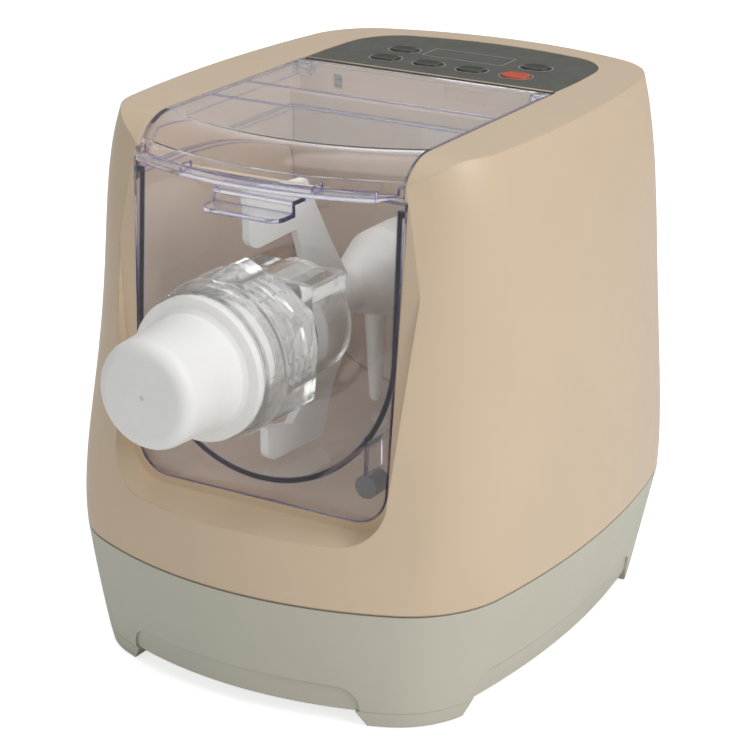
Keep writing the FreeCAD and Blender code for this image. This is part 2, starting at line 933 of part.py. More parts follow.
def make_upper_housing():
    """Beige upper shell with the window recess, the lid opening and the panel recess."""
    plans = housing_plans()
    form = plan_loft("housing_form", plans)
    form_rolled = cut("housing_rolled", form, [nose_tool("nose_tool", 0)])
    wall = S.shell_wall
    inner_plans = [plan.inset(wall) for plan in plans]
    inner_plans[-1] = plans[-1].inset(wall, S.top_height - wall)
    inner = plan_loft("housing_hollow", inner_plans)
    inner_rolled = cut("hollow_rolled", inner, [nose_tool("hollow_nose", wall)])
    hollow = cut("hollow_behind_bezel", inner_rolled, [bezel_loft("bezel_backing", S.bezel_wall)])
    bezel = bezel_loft("bezel_space", 0)
    window_low = S.plate_low - S.window_gap - S.axis_height
    side_slope = (S.plate_top_half_width - S.plate_low_half_width) / (S.plate_top - S.plate_low - S.plate_corner)
    window_top_half = S.plate_top_half_width + S.window_gap + side_slope * (S.bay_step_height - S.plate_top)
    window = path_pad(
        "window_tool", "XZ_Plane", leaning_offset(S.bezel_wall * -3), S.bezel_reach,
        [tray_path(S.plate_low_half_width + S.window_gap, window_top_half, window_low,
                   S.bay_step_height - S.axis_height, S.plate_corner + S.window_gap)],
        (), False, True)
    lid_half = S.lid_half_width + S.lid_gap
    opening = box("lid_opening", (-lid_half, lid_half), (S.seam_front, S.panel_front - S.recess_gap),
                  (S.bay_step_height, S.top_height + S.nose_roll))
    floor = S.top_height - S.panel_sunk - S.panel_thickness
    recess = path_pad("panel_recess", "XY_Plane", (ZERO, ZERO, floor), S.nose_roll, [panel_path(S.recess_gap)])
    backing = path_pad("panel_backing", "XY_Plane", (ZERO, ZERO, floor - wall), wall + 1,
                       [panel_path(S.recess_gap + S.backing_margin)])
    bare = cut("housing_shell", form_rolled, [hollow])
    with_ledge = fuse("housing_with_ledge", [bare, backing])
    well = box("panel_well", (-S.recess_well_half_width, S.recess_well_half_width),
               (S.recess_well_front, S.recess_well_rear), (S.board_height, S.top_height + 1))
    opened = cut("housing_opened", with_ledge, [bezel, window, opening, recess, well])
    posts = []
    post_top = floor - wall + 0.5
    for side in (-1, 1):
        for y in (board_front() + S.post_radius, S.recess_well_rear + S.post_radius):
            x = S.recess_well_half_width * 0.7 * side
            foot = S.board_height + S.board_thickness
            posts.append(cylinder("board_post", "z", S.post_radius - 0.5, (x, y, foot), post_top - foot))
    piece("upper_housing", fuse("upper_housing", [opened] + posts))


def make_base():
    """Off-white base shell, its bottom plate, four corner feet and their pads."""
    plans = base_plans()
    wall = S.shell_wall
    form = plan_loft("base_form", plans)
    hollow = plan_loft("base_hollow", [plan.inset(wall) for plan in plans])
    inlet_hole = cylinder("inlet_hole", "y", S.inlet_radius, (S.inlet_across, S.belly_rear - 40, S.inlet_height),
                          60)
    seam = plans[-1]
    groove_low = S.seam_height - S.seam_gap
    notch_outer = plan_pad("seam_notch_outer", seam.inset(-S.shell_wall, groove_low), S.seam_gap + 1)
    notch_inner = plan_pad("seam_notch_inner", seam.inset(S.shell_wall * 0.5, groove_low - 1), S.seam_gap + 3)
    notch = cut("seam_notch", notch_outer, [notch_inner])
    arch_core = plan_loft("arch_core", [plan.inset(S.arch_depth) for plan in plans])
    band = cut("arch_band", form, [arch_core])
    arches = fuse("arches", [
        arch_prism("arch_ahead", "XZ_Plane", -S.arch_half_width, Size.of(S.arch_half_width), S.seam_rear * 3),
        arch_prism("arch_beside", "YZ_Plane", S.foot_front_rear + S.foot_slope, S.foot_rear - S.foot_slope,
                   S.seam_half_width * 3),
    ])
    recess = common("arch_recess", [band, arches])
    piece("base_shell", cut("base_shell", form, [hollow, inlet_hole, notch, recess]))

    skirt = plans[0]
    inside = skirt.inset(wall + S.fit_gap)
    plate = plan_pad("bottom_plate_form", inside, S.plate_wall)
    holes = []
    for name, across, y in corner_places():
        holes.append(cylinder(f"plate_hole_{name}", "z", S.screw_radius, (across, y, S.skirt_height - 1),
                              S.plate_wall + 2))
    piece("bottom_plate", cut("bottom_plate", plate, holes))

    foot_plan = Plan(S.foot_clear, S.skirt_half_width - 1.8, S.skirt_front + 1.6, S.skirt_rear - 1.6, S.side_bow,
                     S.skirt_corner)
    feet_form = new_body("feet_form")
    low = new_sketch(feet_form, "feet_low", "XY_Plane", (ZERO, ZERO, S.foot_clear))
    foot_plan.draw(low)
    high = new_sketch(feet_form, "feet_high", "XY_Plane", (ZERO, ZERO, S.skirt_height))
    skirt.draw(high)
    loft = feet_form.newObject("PartDesign::AdditiveLoft", "feet_loft")
    loft.Profile = low
    loft.Sections = [high]
    loft.Ruled = True
    feet_form.Tip = loft
    feet = []
    far = S.seam_half_width + S.foot_slope
    for side in (-1, 1):
        for y_in, y_out in ((S.foot_front_rear, S.seam_front), (S.foot_rear, S.seam_rear)):
            block = foot_block(side, y_in, y_out, far)
            feet.append(common("foot", [feet_form, block]))
    drilled = []
    for foot, (name, across, y) in zip(feet, corner_places()):
        pocket = cylinder(f"foot_pocket_{name}", "z", S.pad_radius, (across, y, S.foot_clear - 1), 2.2)
        screw_way = cylinder(f"foot_screw_way_{name}", "z", S.screw_radius, (across, y, S.foot_clear),
                             S.skirt_height)
        drilled.append(cut(f"foot_{name}", foot, [pocket, screw_way]))
    piece("corner_feet", group("corner_feet", drilled))
    pads = []
    screws = []
    for name, across, y in corner_places():
        pads.append(cylinder(f"pad_{name}", "z", S.pad_radius, (across, y, ZERO), S.foot_clear + 1.2))
        shank = cylinder(f"shank_{name}", "z", S.screw_radius, (across, y, S.foot_clear + 1.2),
                         S.skirt_height + S.plate_wall - S.foot_clear - 1.2)
        nut = cylinder(f"screw_nut_{name}", "z", S.screw_head, (across, y, S.skirt_height + S.plate_wall),
                       S.screw_head_height)
        screws.append(fuse(f"foot_screw_{name}", [shank, nut]))
    piece("rubber_pads", group("rubber_pads", pads))
    piece("foot_screws", group("foot_screws", screws))


def arch_prism(name, plane, start, end, length):
    """Make the low arch, drawn across a plane, that sets the base's wall back between two feet."""
    low = S.skirt_height - 1
    knee = S.arch_top - S.arch_round
    points = [
        (start, low),
        (end, low),
        (end, knee),
        (end - S.arch_round, S.arch_top),
        (start + S.arch_round, S.arch_top),
        (start, knee),
    ]
    bends = {2: (S.arch_round, 1), 4: (S.arch_round, 1)}
    return path_pad(name, plane, (ZERO, ZERO, ZERO), length, [(points, bends)], (), True)


def corner_places():
    """Return each foot's name and centre, in the order in which the feet are made."""
    return [
        ("front_left", -S.pad_across, S.pad_front_y),
        ("rear_left", -S.pad_across, S.pad_rear_y),
        ("front_right", S.pad_across, S.pad_front_y),
        ("rear_right", S.pad_across, S.pad_rear_y),
    ]


def foot_block(side, y_in, y_out, far):
    """Make the block that cuts one foot out of the skirt, with slopes at its two ends."""
    inward = 1 if y_out.number > y_in.number else -1
    body = new_body("foot_block")
    sketches = []
    for height, slope in ((S.foot_clear, ZERO), (S.skirt_height, S.foot_slope)):
        sketch = new_sketch(body, "foot_block_face", "XY_Plane", (ZERO, ZERO, height))
        near_x = (S.foot_inner - slope) * side
        far_x = far * side
        near_y = y_in - slope * inward
        far_y = y_out + S.foot_slope * inward
        points = [(near_x, near_y), (far_x, near_y), (far_x, far_y), (near_x, far_y)]
        if side * inward < 0:
            points.reverse()
        draw_path(sketch, points)
        sketches.append(sketch)
    loft = body.newObject("PartDesign::AdditiveLoft", "foot_block_loft")
    loft.Profile = sketches[0]
    loft.Sections = [sketches[1]]
    loft.Ruled = True
    body.Tip = loft
    return body


def make_bay():
    """Brown inner bay that holds the mixing chamber and carries the gearbox."""
    wall = S.bay_wall
    half = S.bay_half_width
    front = S.seam_front
    outer = path_pad("bay_outer", "XZ_Plane", (ZERO, ZERO, -(S.bay_rear + wall)), S.bay_rear + wall - front,
                     [tray_path(half + wall, half + wall, S.bay_floor - wall, S.bay_top, S.bay_corner + wall)])
    inner = path_pad("bay_inner", "XZ_Plane", (ZERO, ZERO, -S.bay_rear), S.bay_rear - front + 1,
                     [tray_path(half, half, S.bay_floor, S.bay_top + 1, S.bay_corner)])
    step_outer = box("bay_step_outer", (-half - wall, half + wall), (S.bay_rear - 1, S.bay_step_rear + wall),
                     (S.bay_step_height - wall, S.bay_top))
    step_inner = box("bay_step_inner", (-half, half), (S.bay_rear - 5, S.bay_step_rear),
                     (S.bay_step_height, S.bay_top + 1))
    leaning = path_pad(
        "bay_front_tool", "XZ_Plane", leaning_offset(-S.bezel_wall), S.bezel_reach * 2,
        [([(-half * 2, -S.axis_height), (half * 2, -S.axis_height), (half * 2, S.axis_height),
           (-half * 2, S.axis_height)], None)], (), False, True)
    nose = nose_tool("bay_nose_tool", S.shell_wall)
    joined = fuse("bay_blocks", [outer, step_outer])
    shaft_hole = cylinder("bay_shaft_hole", "y", S.bay_shaft_hole, (ZERO, S.bay_rear - 10, S.axis_height), 20)
    pin_holes = []
    for side in (-1, 1):
        x = half * side - 2 - wall * (1 - side) / 2
        pin_holes.append(cylinder("hinge_hole", "x", S.hinge_pin, (x, S.hinge_y, S.hinge_height), wall + 4))
    ledge_front = S.panel_front - S.recess_gap - S.fit_gap
    ledge = box("bay_ledge_space", (-half - wall - 1, half + wall + 1), (ledge_front, S.bay_step_rear + wall + 1),
                (S.top_height - S.panel_sunk - S.panel_thickness - S.shell_wall - 0.1, S.bay_top + 1))
    reliefs = []
    for side in (-1, 1):
        edges = sorted([(half + wall - S.bay_relief) * side, (half + wall + 1) * side], key=lambda edge: edge.number)
        reliefs.append(box("bay_relief", tuple(edges), (front, S.bay_relief_rear), (S.bay_relief_low, S.bay_top + 1)))
    hollowed = cut("bay_hollowed", joined, [inner, step_inner, leaning, nose, ledge] + pin_holes + reliefs)
    pocket = box("switch_pocket", (S.pocket_left, S.pocket_left + S.pocket_length),
                 (S.bay_step_rear - 1, S.bay_step_rear + S.bay_wall / 2),
                 (S.pocket_low, S.pocket_low + S.pocket_height))
    latch = box("latch_hole", (S.latch_left, S.latch_left + S.latch_width), (S.bay_step_rear - 1, S.bay_step_rear + 5),
                (S.latch_low, S.latch_low + S.latch_height))
    hollowed = cut("bay_pocketed", hollowed, [pocket, latch])
    boss = cylinder("bay_boss", "y", S.bay_boss_radius,
                    (ZERO, S.bay_rear - S.bay_boss_height, S.axis_height), S.bay_boss_height)
    with_boss = fuse("bay_with_boss", [hollowed, boss])
    piece("chamber_bay", cut("chamber_bay", with_boss, [shaft_hole]))
    pins = []
    for side in (-1, 1):
        start = (S.bay_half_width + wall - S.hinge_length - 4) if side > 0 else -(S.bay_half_width + wall)
        pins.append(cylinder("hinge_pin", "x", S.hinge_pin, (start, S.hinge_y, S.hinge_height),
                             S.hinge_length + 4))
    piece("lid_hinge_pins", group("lid_hinge_pins", pins))


def bowed_block(name, inset, drop):
    """Make the lid's outer form, moved in by a wall: flat on top, rolled down at a bowed front."""
    body = new_body(name)
    sketch = new_sketch(body, f"{name}_sketch", "YZ_Plane", (S.lid_flat_front + S.lid_bow, ZERO, ZERO))
    radius = S.nose_roll - inset
    run = S.lid_roll_run - inset
    top = S.top_height - inset
    edge = S.lid_bow + run
    low = S.lip_low - drop
    knee = S.top_height - S.nose_roll + (radius * radius - run * run).root()
    points = [(ZERO, low), (-edge, low), (-edge, knee), (-S.lid_bow, top), (ZERO, top)]
    draw_path(sketch, points, {2: (radius, -1)})
    turned = body.newObject("PartDesign::Revolution", f"{name}_turned")
    turned.Profile = sketch
    turned.ReferenceAxis = (sketch, ["V_Axis"])
    turned.Angle = 360
    body.Tip = turned
    return body


def make_lid():
    """Clear lid: flat top, bowed and rolled front, side skirts, grip lip and two hinge knuckles."""
    wall = S.lid_wall
    half = S.lid_half_width
    far = S.seam_front - S.nose_roll
    outer = common("lid_outer", [
        bowed_block("lid_form", ZERO, ZERO),
        box("lid_outer_block", (-half, half), (far, S.lid_rear), (S.lip_low, S.top_height)),
    ])
    inner = common("lid_inner", [
        bowed_block("lid_hollow_form", wall, ZERO + 1),
        box("lid_inner_block", (wall - half, half - wall), (far, S.lid_rear + 1), (S.lip_low - 1, S.top_height)),
    ])
    low = S.top_height - S.lid_skirt
    under_points = [
        (S.lid_cheek, S.lip_low - 1),
        (S.lid_rear + 1, S.lip_low - 1),
        (S.lid_rear + 1, low),
        (S.lid_cheek + low - S.lip_low, low),
        (S.lid_cheek, S.lip_low),
    ]
    under = path_pad("lid_under_tool", "YZ_Plane", (ZERO, ZERO, ZERO), half * 3, [(under_points, None)], (), True)
    shell = cut("lid_shell", outer, [inner, under])
    centre_y = S.lid_flat_front + S.lid_bow
    edge = S.lid_bow + S.lid_roll_run
    lip_top = S.lip_low + S.lip_height
    lip_block = box("lip_block", (-half, half), (far, S.lip_side_y), (S.lip_low, lip_top))
    rim = cylinder("lip_rim", "z", edge + S.lip_width, (ZERO, centre_y, S.lip_low), S.lip_height)
    core = cylinder("lip_core", "z", edge - wall, (ZERO, centre_y, S.lip_low - 1), S.lip_height + 2)
    lip = cut("lip_ring", common("lip_common", [lip_block, rim]), [core])
    tray_rim = cylinder("tray_rim", "z", edge + S.lip_width - S.lip_edge, (ZERO, centre_y, lip_top - S.lip_groove),
                        S.lip_groove + 1)
    tray_core = cylinder("tray_core", "z", edge, (ZERO, centre_y, S.lip_low - 1), S.lip_height + 4)
    tray_block = box("tray_block", (S.lip_edge * 2 - half, half - S.lip_edge * 2), (far, S.lip_side_y + 2),
                     (lip_top - S.lip_groove, lip_top + 1))
    tray = cut("lip_tray", common("tray_common", [tray_block, tray_rim]), [tray_core])
    ribs = []
    for place_x in (-S.lip_rib_across, S.lip_rib_across):
        ribs.append(box("lip_rib", (place_x - 0.6, place_x + 0.6), (far, S.lip_side_y), (S.lip_low + 1, lip_top)))
    rib_ring = cut("lip_ribs", common("rib_common", [rim, fuse("rib_pair", ribs)]), [core])
    corner_cuts = []
    for side in (-1, 1):
        corner = path_pad("lip_corner", "XY_Plane", (ZERO, ZERO, S.lip_low - 1), S.lip_height + 2, [
            lip_corner_path(side, half, centre_y, edge)])
        corner_cuts.append(corner)
    knuckles = []
    bores = []
    for side in (-1, 1):
        start = half - S.hinge_length if side > 0 else -half
        knuckles.append(cylinder("knuckle", "x", S.hinge_knuckle, (start, S.hinge_y, S.hinge_height),
                                 S.hinge_length))
        bores.append(cylinder("knuckle_bore", "x", S.hinge_pin + S.running_gap,
                              (start - 1, S.hinge_y, S.hinge_height), S.hinge_length + 2))
    stiffeners = []
    for y in (S.lid_rib_front, S.lid_rib_rear):
        stiffeners.append(box("lid_stiffener", (wall - half, half - wall), (y - 0.6, y + 0.6),
                              (S.top_height - wall - 0.8, S.top_height - wall + 0.2)))
    open_lip = fuse("lip_with_ribs", [cut("lip_hollowed", lip, [tray]), rib_ring])
    trimmed = cut("lip_trimmed", open_lip, corner_cuts)
    joined = fuse("lid_joined", [shell, trimmed] + knuckles + stiffeners)
    piece("lid", cut("lid", joined, bores))


def lip_corner_path(side, half, centre_y, edge):
    """Return the waste outside one rounded front corner of the lip."""
    radius = S.lip_corner
    reach = edge + S.lip_width
    across = half - radius
    front = centre_y - (reach * reach - across * across).root()
    side_y = front + radius * 1.25
    points = [
        ((half + 1) * side, side_y),
        ((half + 1) * side, front - radius),
        (across * side, front - radius),
        (across * side, front + 0.3),
        (half * side, side_y),
    ]
    turn = 1
    if side > 0:
        points.reverse()
        return points, {0: (radius * 1.3, turn)}
    return points, {3: (radius * 1.3, -turn)}


def make_chamber():
    """Clear mixing chamber: a U trough with a rear wall and a leaning front plate."""
    outer = S.trough_radius
    wall = S.trough_wall
    top = S.trough_top

    def trough(name, radius, rear, start):
        points = [(-radius, top), (-radius, S.axis_height), (ZERO, S.axis_height - radius),
                  (radius, S.axis_height), (radius, top)]
        return path_pad(name, "XZ_Plane", (ZERO, ZERO, -Size.of(rear)), Size.of(rear) - start,
                        [(points, {1: (radius, 1), 2: (radius, 1)})])

    front = S.window_y - 40
    shell = trough("trough_outer", outer, S.trough_rear, front)
    hollow = path_pad("trough_hollow", "XZ_Plane", (ZERO, ZERO, wall - S.trough_rear), S.trough_rear - wall - front + 1,
                      [([(wall - outer, top + 1), (wall - outer, S.axis_height), (ZERO, S.axis_height - outer + wall),
                         (outer - wall, S.axis_height), (outer - wall, top + 1)],
                        {1: (outer - wall, 1), 2: (outer - wall, 1)})])
    rims = []
    for side in (-1, 1):
        start = outer - 1 if side > 0 else -outer - S.rim_width + 1
        rims.append(box("trough_rim", (start, start + S.rim_width), (front, S.trough_rear),
                        (top - S.rim_height, top)))
    ahead = path_pad(
        "trough_front_tool", "XZ_Plane", leaning_offset(S.plate_proud - 1), S.bezel_reach * 2,
        [([(-outer * 2, -S.axis_height), (outer * 2, -S.axis_height), (outer * 2, S.axis_height),
           (-outer * 2, S.axis_height)], None)], (), False, True)
    plate_low = S.plate_low - S.axis_height
    plate_high = S.plate_top - S.axis_height
    plate = path_pad(
        "front_plate", "XZ_Plane", leaning_offset(S.plate_proud - S.plate_thickness), S.plate_thickness,
        [tray_path(S.plate_low_half_width, S.plate_top_half_width, plate_low, plate_high, S.plate_corner)],
        (), False, True)
    gussets = []
    for side in (-1, 1):
        x = S.bumper_across * side
        gussets.append(box("gusset", (x - S.gusset_wall / 2, x + S.gusset_wall / 2),
                           (S.window_y - 4, S.window_y + 12), (S.bumper_height + S.bumper_radius, S.axis_height - 40)))
    neck_y = window_plane_y(S.tab_low, -S.tab_neck)
    plate_y = window_plane_y(S.tab_low)
    shelf = box("tab_shelf", (-S.tab_half_width, S.tab_half_width), (neck_y, plate_y),
                (S.tab_low + S.tab_drop - S.tab_wall, S.tab_low + S.tab_drop))
    neck = box("tab_neck", (-S.tab_half_width, S.tab_half_width), (neck_y - S.tab_wall, neck_y),
               (S.tab_low, S.tab_low + S.tab_drop))
    round_off = S.tab_reach * 0.45
    tongue_front = neck_y - S.tab_reach
    tongue = path_pad("tab_tongue", "XY_Plane", (ZERO, ZERO, S.tab_low), S.tab_wall, [
        ([(-S.tab_half_width, neck_y), (-S.tab_half_width, tongue_front + round_off),
          (round_off - S.tab_half_width, tongue_front), (S.tab_half_width - round_off, tongue_front),
          (S.tab_half_width, tongue_front + round_off), (S.tab_half_width, neck_y)],
         {1: (round_off, 1), 3: (round_off, 1)})])
    body = cut("trough_hollowed", fuse("trough_with_rims", [shell] + rims), [hollow, ahead])
    joined = fuse("chamber_joined", [body, plate, shelf, neck, tongue] + gussets)
    seal_hole = cylinder("seal_hole", "y", S.chamber_seal_radius, (ZERO, S.trough_rear - 10, S.axis_height), 20)
    barrel_hole = cylinder("barrel_hole", "y", S.barrel_lip, (ZERO, S.window_y - 20, S.axis_height), 40)
    piece("mixing_chamber", cut("mixing_chamber", joined, [seal_hole, barrel_hole]))
    piece("chamber_shaft_seal", ring("chamber_shaft_seal", S.chamber_seal_radius,
                                     S.journal_radius + S.running_gap, S.trough_rear + 0.6,
                                     S.trough_rear - S.trough_wall - 0.1))
    bumpers = []
    for side in (-1, 1):
        start = window_plane_y(S.bumper_height, S.plate_thickness + S.lean_angle.tangent() * S.bumper_radius)
        bumpers.append(cylinder("bumper", "y", S.bumper_radius,
                                (S.bumper_across * side, start - S.plate_proud, S.bumper_height), S.bumper_length))
    piece("chamber_bumpers", group("chamber_bumpers", bumpers))


def make_barrel():
    """Clear extrusion barrel: round with a square upper half in the chamber, threaded outside."""
    half = S.barrel_half_square
    back_of_plate = S.window_y + S.plate_thickness + 1.5
    inside_length = S.barrel_rear - back_of_plate
    square = path_pad("barrel_square", "XZ_Plane", (ZERO, S.axis_height, -S.barrel_rear), inside_length,
                      [rounded_box_path(half, ZERO, half + 1, S.barrel_corner)])
    tube = cylinder("barrel_tube", "y", S.barrel_round, (ZERO, back_of_plate, S.axis_height), inside_length)
    inside = fuse("barrel_inside", [square, tube])
    throat = cylinder("barrel_throat", "y", S.barrel_lip - S.fit_gap, (ZERO, S.window_y - 4, S.axis_height),
                      back_of_plate - S.window_y + 6)
    front_of_plate = S.window_y - S.plate_proud - 3.2
    rib = S.barrel_thread_height
    pitch = S.barrel_thread_pitch
    start = S.barrel_front
    points = [(S.barrel_bore + 1, front_of_plate)]
    points.append((S.barrel_outer + 1.0, front_of_plate))
    points.append((S.barrel_outer + 1.0, front_of_plate - 2))
    points.append((S.barrel_outer - rib, front_of_plate - 2))
    for turn in range(5, 0, -1):
        y = start + pitch * turn
        points.append((S.barrel_outer - rib, y + pitch * 0.3))
        points.append((S.barrel_outer, y + pitch * 0.15))
        points.append((S.barrel_outer, y - pitch * 0.15))
        points.append((S.barrel_outer - rib, y - pitch * 0.3))
    points.append((S.barrel_outer - rib, start))
    points.append((S.barrel_bore + 1, start))
    outside = axis_turned("barrel_outside", points)
    bore = cylinder("barrel_bore", "y", S.barrel_bore, (ZERO, S.barrel_front - 5, S.axis_height),
                    S.barrel_rear - S.barrel_front + 10)
    joined = fuse("barrel_joined", [inside, throat, outside])
    piece("extrusion_barrel", cut("extrusion_barrel", joined, [bore]))


def make_auger():
    """White auger: a tapering core with a helical flight."""
    rear = S.hub_front
    length = rear - S.auger_front
    turns_height = length - S.auger_flight * 2
    helix = Part.makeHelix(S.auger_pitch.number, turns_height.number, S.auger_core.number)
    inner = S.auger_core.number - 2.5
    outer = S.auger_radius.number
    half = S.auger_flight.number / 2
    corners = [Vector(inner, 0, -half), Vector(outer, 0, -half * 0.6), Vector(outer, 0, half * 0.6),
               Vector(inner, 0, half), Vector(inner, 0, -half)]
    sweep = Part.BRepOffsetAPI.MakePipeShell(Part.Wire(helix.Edges))
    sweep.setFrenetMode(True)
    sweep.add(Part.makePolygon(corners))
    sweep.build()
    sweep.makeSolid()
    flight = doc.addObject("Part::Feature", "auger_flight")
    flight.Shape = sweep.shape()
    place(flight, (ZERO, S.auger_front + S.auger_flight, S.axis_height), AXIS_TURNS["y"])
    core = cone("auger_core", "y", S.auger_tip_core, S.auger_core, (ZERO, S.auger_front, S.axis_height), length)
    piece("auger_screw", fuse("auger_screw", [core, flight]))


def make_stirring_bar():
    """White stirring bar: a flared hub with two flag-shaped blades and a thin finger."""
    hub = axis_turned("stirrer_hub", [
        (ZERO, S.hub_front),
        (S.hub_radius, S.hub_front),
        (S.hub_radius, S.hub_flare_start),
        (S.hub_collar, S.hub_flare_end),
        (S.hub_collar, S.hub_rear),
        (S.journal_radius, S.hub_rear),
        (S.journal_radius, S.journal_rear),
        (ZERO, S.journal_rear),
    ])
    reach = S.blade_reach
    top = S.blade_top
    tip = S.blade_tip_round
    upper = stirrer_blade("upper_blade", S.blade_skew, [
        (10, 4), (11, 13), (1, 31.5), (-7, 48.2), (-15.5, top), (-reach, top), (-reach, 39 + tip),
        (tip - reach, 38.5), (-22.3, 42.8), (-14, 15), (-10, 4)], {6: (tip, 1)})
    bottom = S.blade_bottom
    lower = stirrer_blade("lower_blade", S.lower_blade_skew, [
        (-10, -4), (-14, -15), (-23, -46), (-33, -55), (-reach, -51.5), (-reach, tip - bottom),
        (tip - reach, -bottom), (-9, -bottom), (-5, -63), (0.3, -45.6), (8, -33), (12, -4)], {5: (tip, 1)})
    finger = cone("down_finger", "x", S.finger_root, S.finger_tip, (ZERO, S.finger_y, S.axis_height),
                  S.finger_length, Rotation(Vector(1, 0, 0), 180))
    finger_end = doc.addObject("Part::Sphere", "down_finger_end")
    finger_end.Radius = S.finger_tip.number
    bind(finger_end, "Radius", S.finger_tip)
    place(finger_end, (ZERO, S.finger_y, S.axis_height - S.finger_length))
    joined = fuse("stirrer_joined", [hub, finger, finger_end, upper, lower])
    socket = hexagon("stirrer_socket", S.coupler_flats + S.coupler_gap * 2, S.coupler_front - 1, S.journal_rear + 1)
    piece("stirring_bar", cut("stirring_bar", joined, [socket]))


def stirrer_blade(name, skew, points, bends):
    """Make a flat blade from (y, height) points about its root, turned so that its tip leans to -X."""
    flat = path_pad(f"{name}_flat", "YZ_Plane", (ZERO, ZERO, ZERO), S.blade_thickness, [(points, bends)], (), True)
    holder = doc.addObject("Part::Compound", name)
    holder.Links = [flat]
    holder.Placement = Placement(Vector(0, S.blade_root_y.number, S.axis_height.number),
                                 Rotation(Vector(0, 0, -1), skew.number))
    bind(holder, "Placement.Base.y", S.blade_root_y)
    bind(holder, "Placement.Base.z", S.axis_height)
    bind(holder, "Placement.Rotation.Angle", skew)
    return holder


def hexagon(name, flats, front, rear):
    """Make a hexagonal bar on the drive axis."""
    half = Size.of(flats) / 2
    corner = half * 2 / SQUARE_ROOT_3
    points = [(corner, 0), (corner / 2, half), (-corner / 2, half), (-corner, 0), (-corner / 2, -half),
              (corner / 2, -half)]
    return path_pad(name, "XZ_Plane", (ZERO, S.axis_height, -Size.of(rear)), Size.of(rear) - front,
                    [(points, None)])


def make_nozzle():
    """Die disc, lobed clear ring nut and white nozzle cap."""
    die_rear = S.barrel_front - 0.3
    die_length = die_rear - S.die_front
    disc = cylinder("die_blank", "y", S.die_radius, (ZERO, S.die_front, S.axis_height), die_length)
    slots = []
    count = int(S.die_slot_count.number)
    for index in range(count):
        angle = math.radians(360 / count * index)
        x = S.die_slot_circle * math.cos(angle)
        z = S.axis_height + S.die_slot_circle * math.sin(angle)
        slots.append(cylinder("die_slot", "y", S.die_slot_radius, (x, S.die_front - 1, z), die_length + 2))
    piece("die_disc", cut("die_disc", disc, slots))

    rib = S.nut_rib_height
    pitch = (S.nut_rear - S.nut_step) / S.nut_rib_count
    points = [(S.nut_bore, S.nut_rear), (S.nut_radius, S.nut_rear)]
    for index in range(int(S.nut_rib_count.number)):
        y = S.nut_rear - pitch * (index + 0.5)
        points.append((S.nut_radius, y + pitch * 0.35))
        points.append((S.nut_radius + rib, y + pitch * 0.15))
        points.append((S.nut_radius + rib, y - pitch * 0.15))
        points.append((S.nut_radius, y - pitch * 0.35))
    points.append((S.nut_radius, S.nut_step))
    points.append((S.nut_nose, S.nut_front))
    points.append((S.nut_lip_bore, S.nut_front))
    points.append((S.nut_lip_bore, S.die_front - 0.3))
    points.append((S.nut_bore, S.die_front - 0.3))
    turned = axis_turned("nut_turned", points)
    lobes = []
    count = int(S.nut_lobe_count.number)
    for index in range(count):
        lobe = path_pad(f"nut_lobe_{index}", "XZ_Plane", (ZERO, ZERO, -S.nut_rear), S.nut_rear - S.nut_step,
                        [([(-S.nut_lobe_half_width, S.nut_lobe_foot), (S.nut_lobe_half_width, S.nut_lobe_foot),
                           (ZERO + 1.2, S.nut_lobe), (ZERO - 1.2, S.nut_lobe)], None)])
        holder = doc.addObject("Part::Compound", f"nut_lobe_turned_{index}")
        holder.Links = [lobe]
        holder.Placement = Placement(Vector(0, 0, S.axis_height.number), Rotation(Vector(0, 1, 0), 360 / count * index))
        bind(holder, "Placement.Base.z", S.axis_height)
        lobes.append(holder)
    taper = axis_turned("nut_lobe_taper", [
        (S.nut_bore + S.fit_gap, S.nut_rear),
        (S.nut_lobe + 1, S.nut_rear),
        (S.nut_lobe + 1, S.nut_lobe_full),
        (S.nut_radius - 1, S.nut_step),
        (S.nut_bore + S.fit_gap, S.nut_step),
    ])
    tapered = common("nut_lobes_tapered", [fuse("nut_lobes", lobes), taper])
    piece("ring_nut", fuse("ring_nut", [turned, tapered]))

    cap_rear = S.nut_front - 0.3
    flange_front = cap_rear - S.cap_flange_length
    spigot = S.nut_lip_bore - 0.4
    wall = S.cap_wall
    points = [
        (ZERO, S.cap_tip),
        (S.cap_end - S.cap_round, S.cap_tip),
        (S.cap_end, S.cap_tip + S.cap_round),
        (S.cap_root - 1, flange_front - 2),
        (S.cap_root + 1, flange_front),
        (S.cap_flange, flange_front),
        (S.cap_flange, cap_rear),
        (spigot, cap_rear),
        (spigot, cap_rear + S.cap_spigot_length),
        (spigot - wall, cap_rear + S.cap_spigot_length),
        (S.cap_end - wall, S.cap_tip + S.cap_round),
        (S.cap_end - S.cap_round, S.cap_tip + wall),
        (ZERO, S.cap_tip + wall),
    ]
    piece("nozzle_cap", axis_turned("nozzle_cap", points, {1: (S.cap_round, 1), 10: (S.cap_round - wall, -1)}))


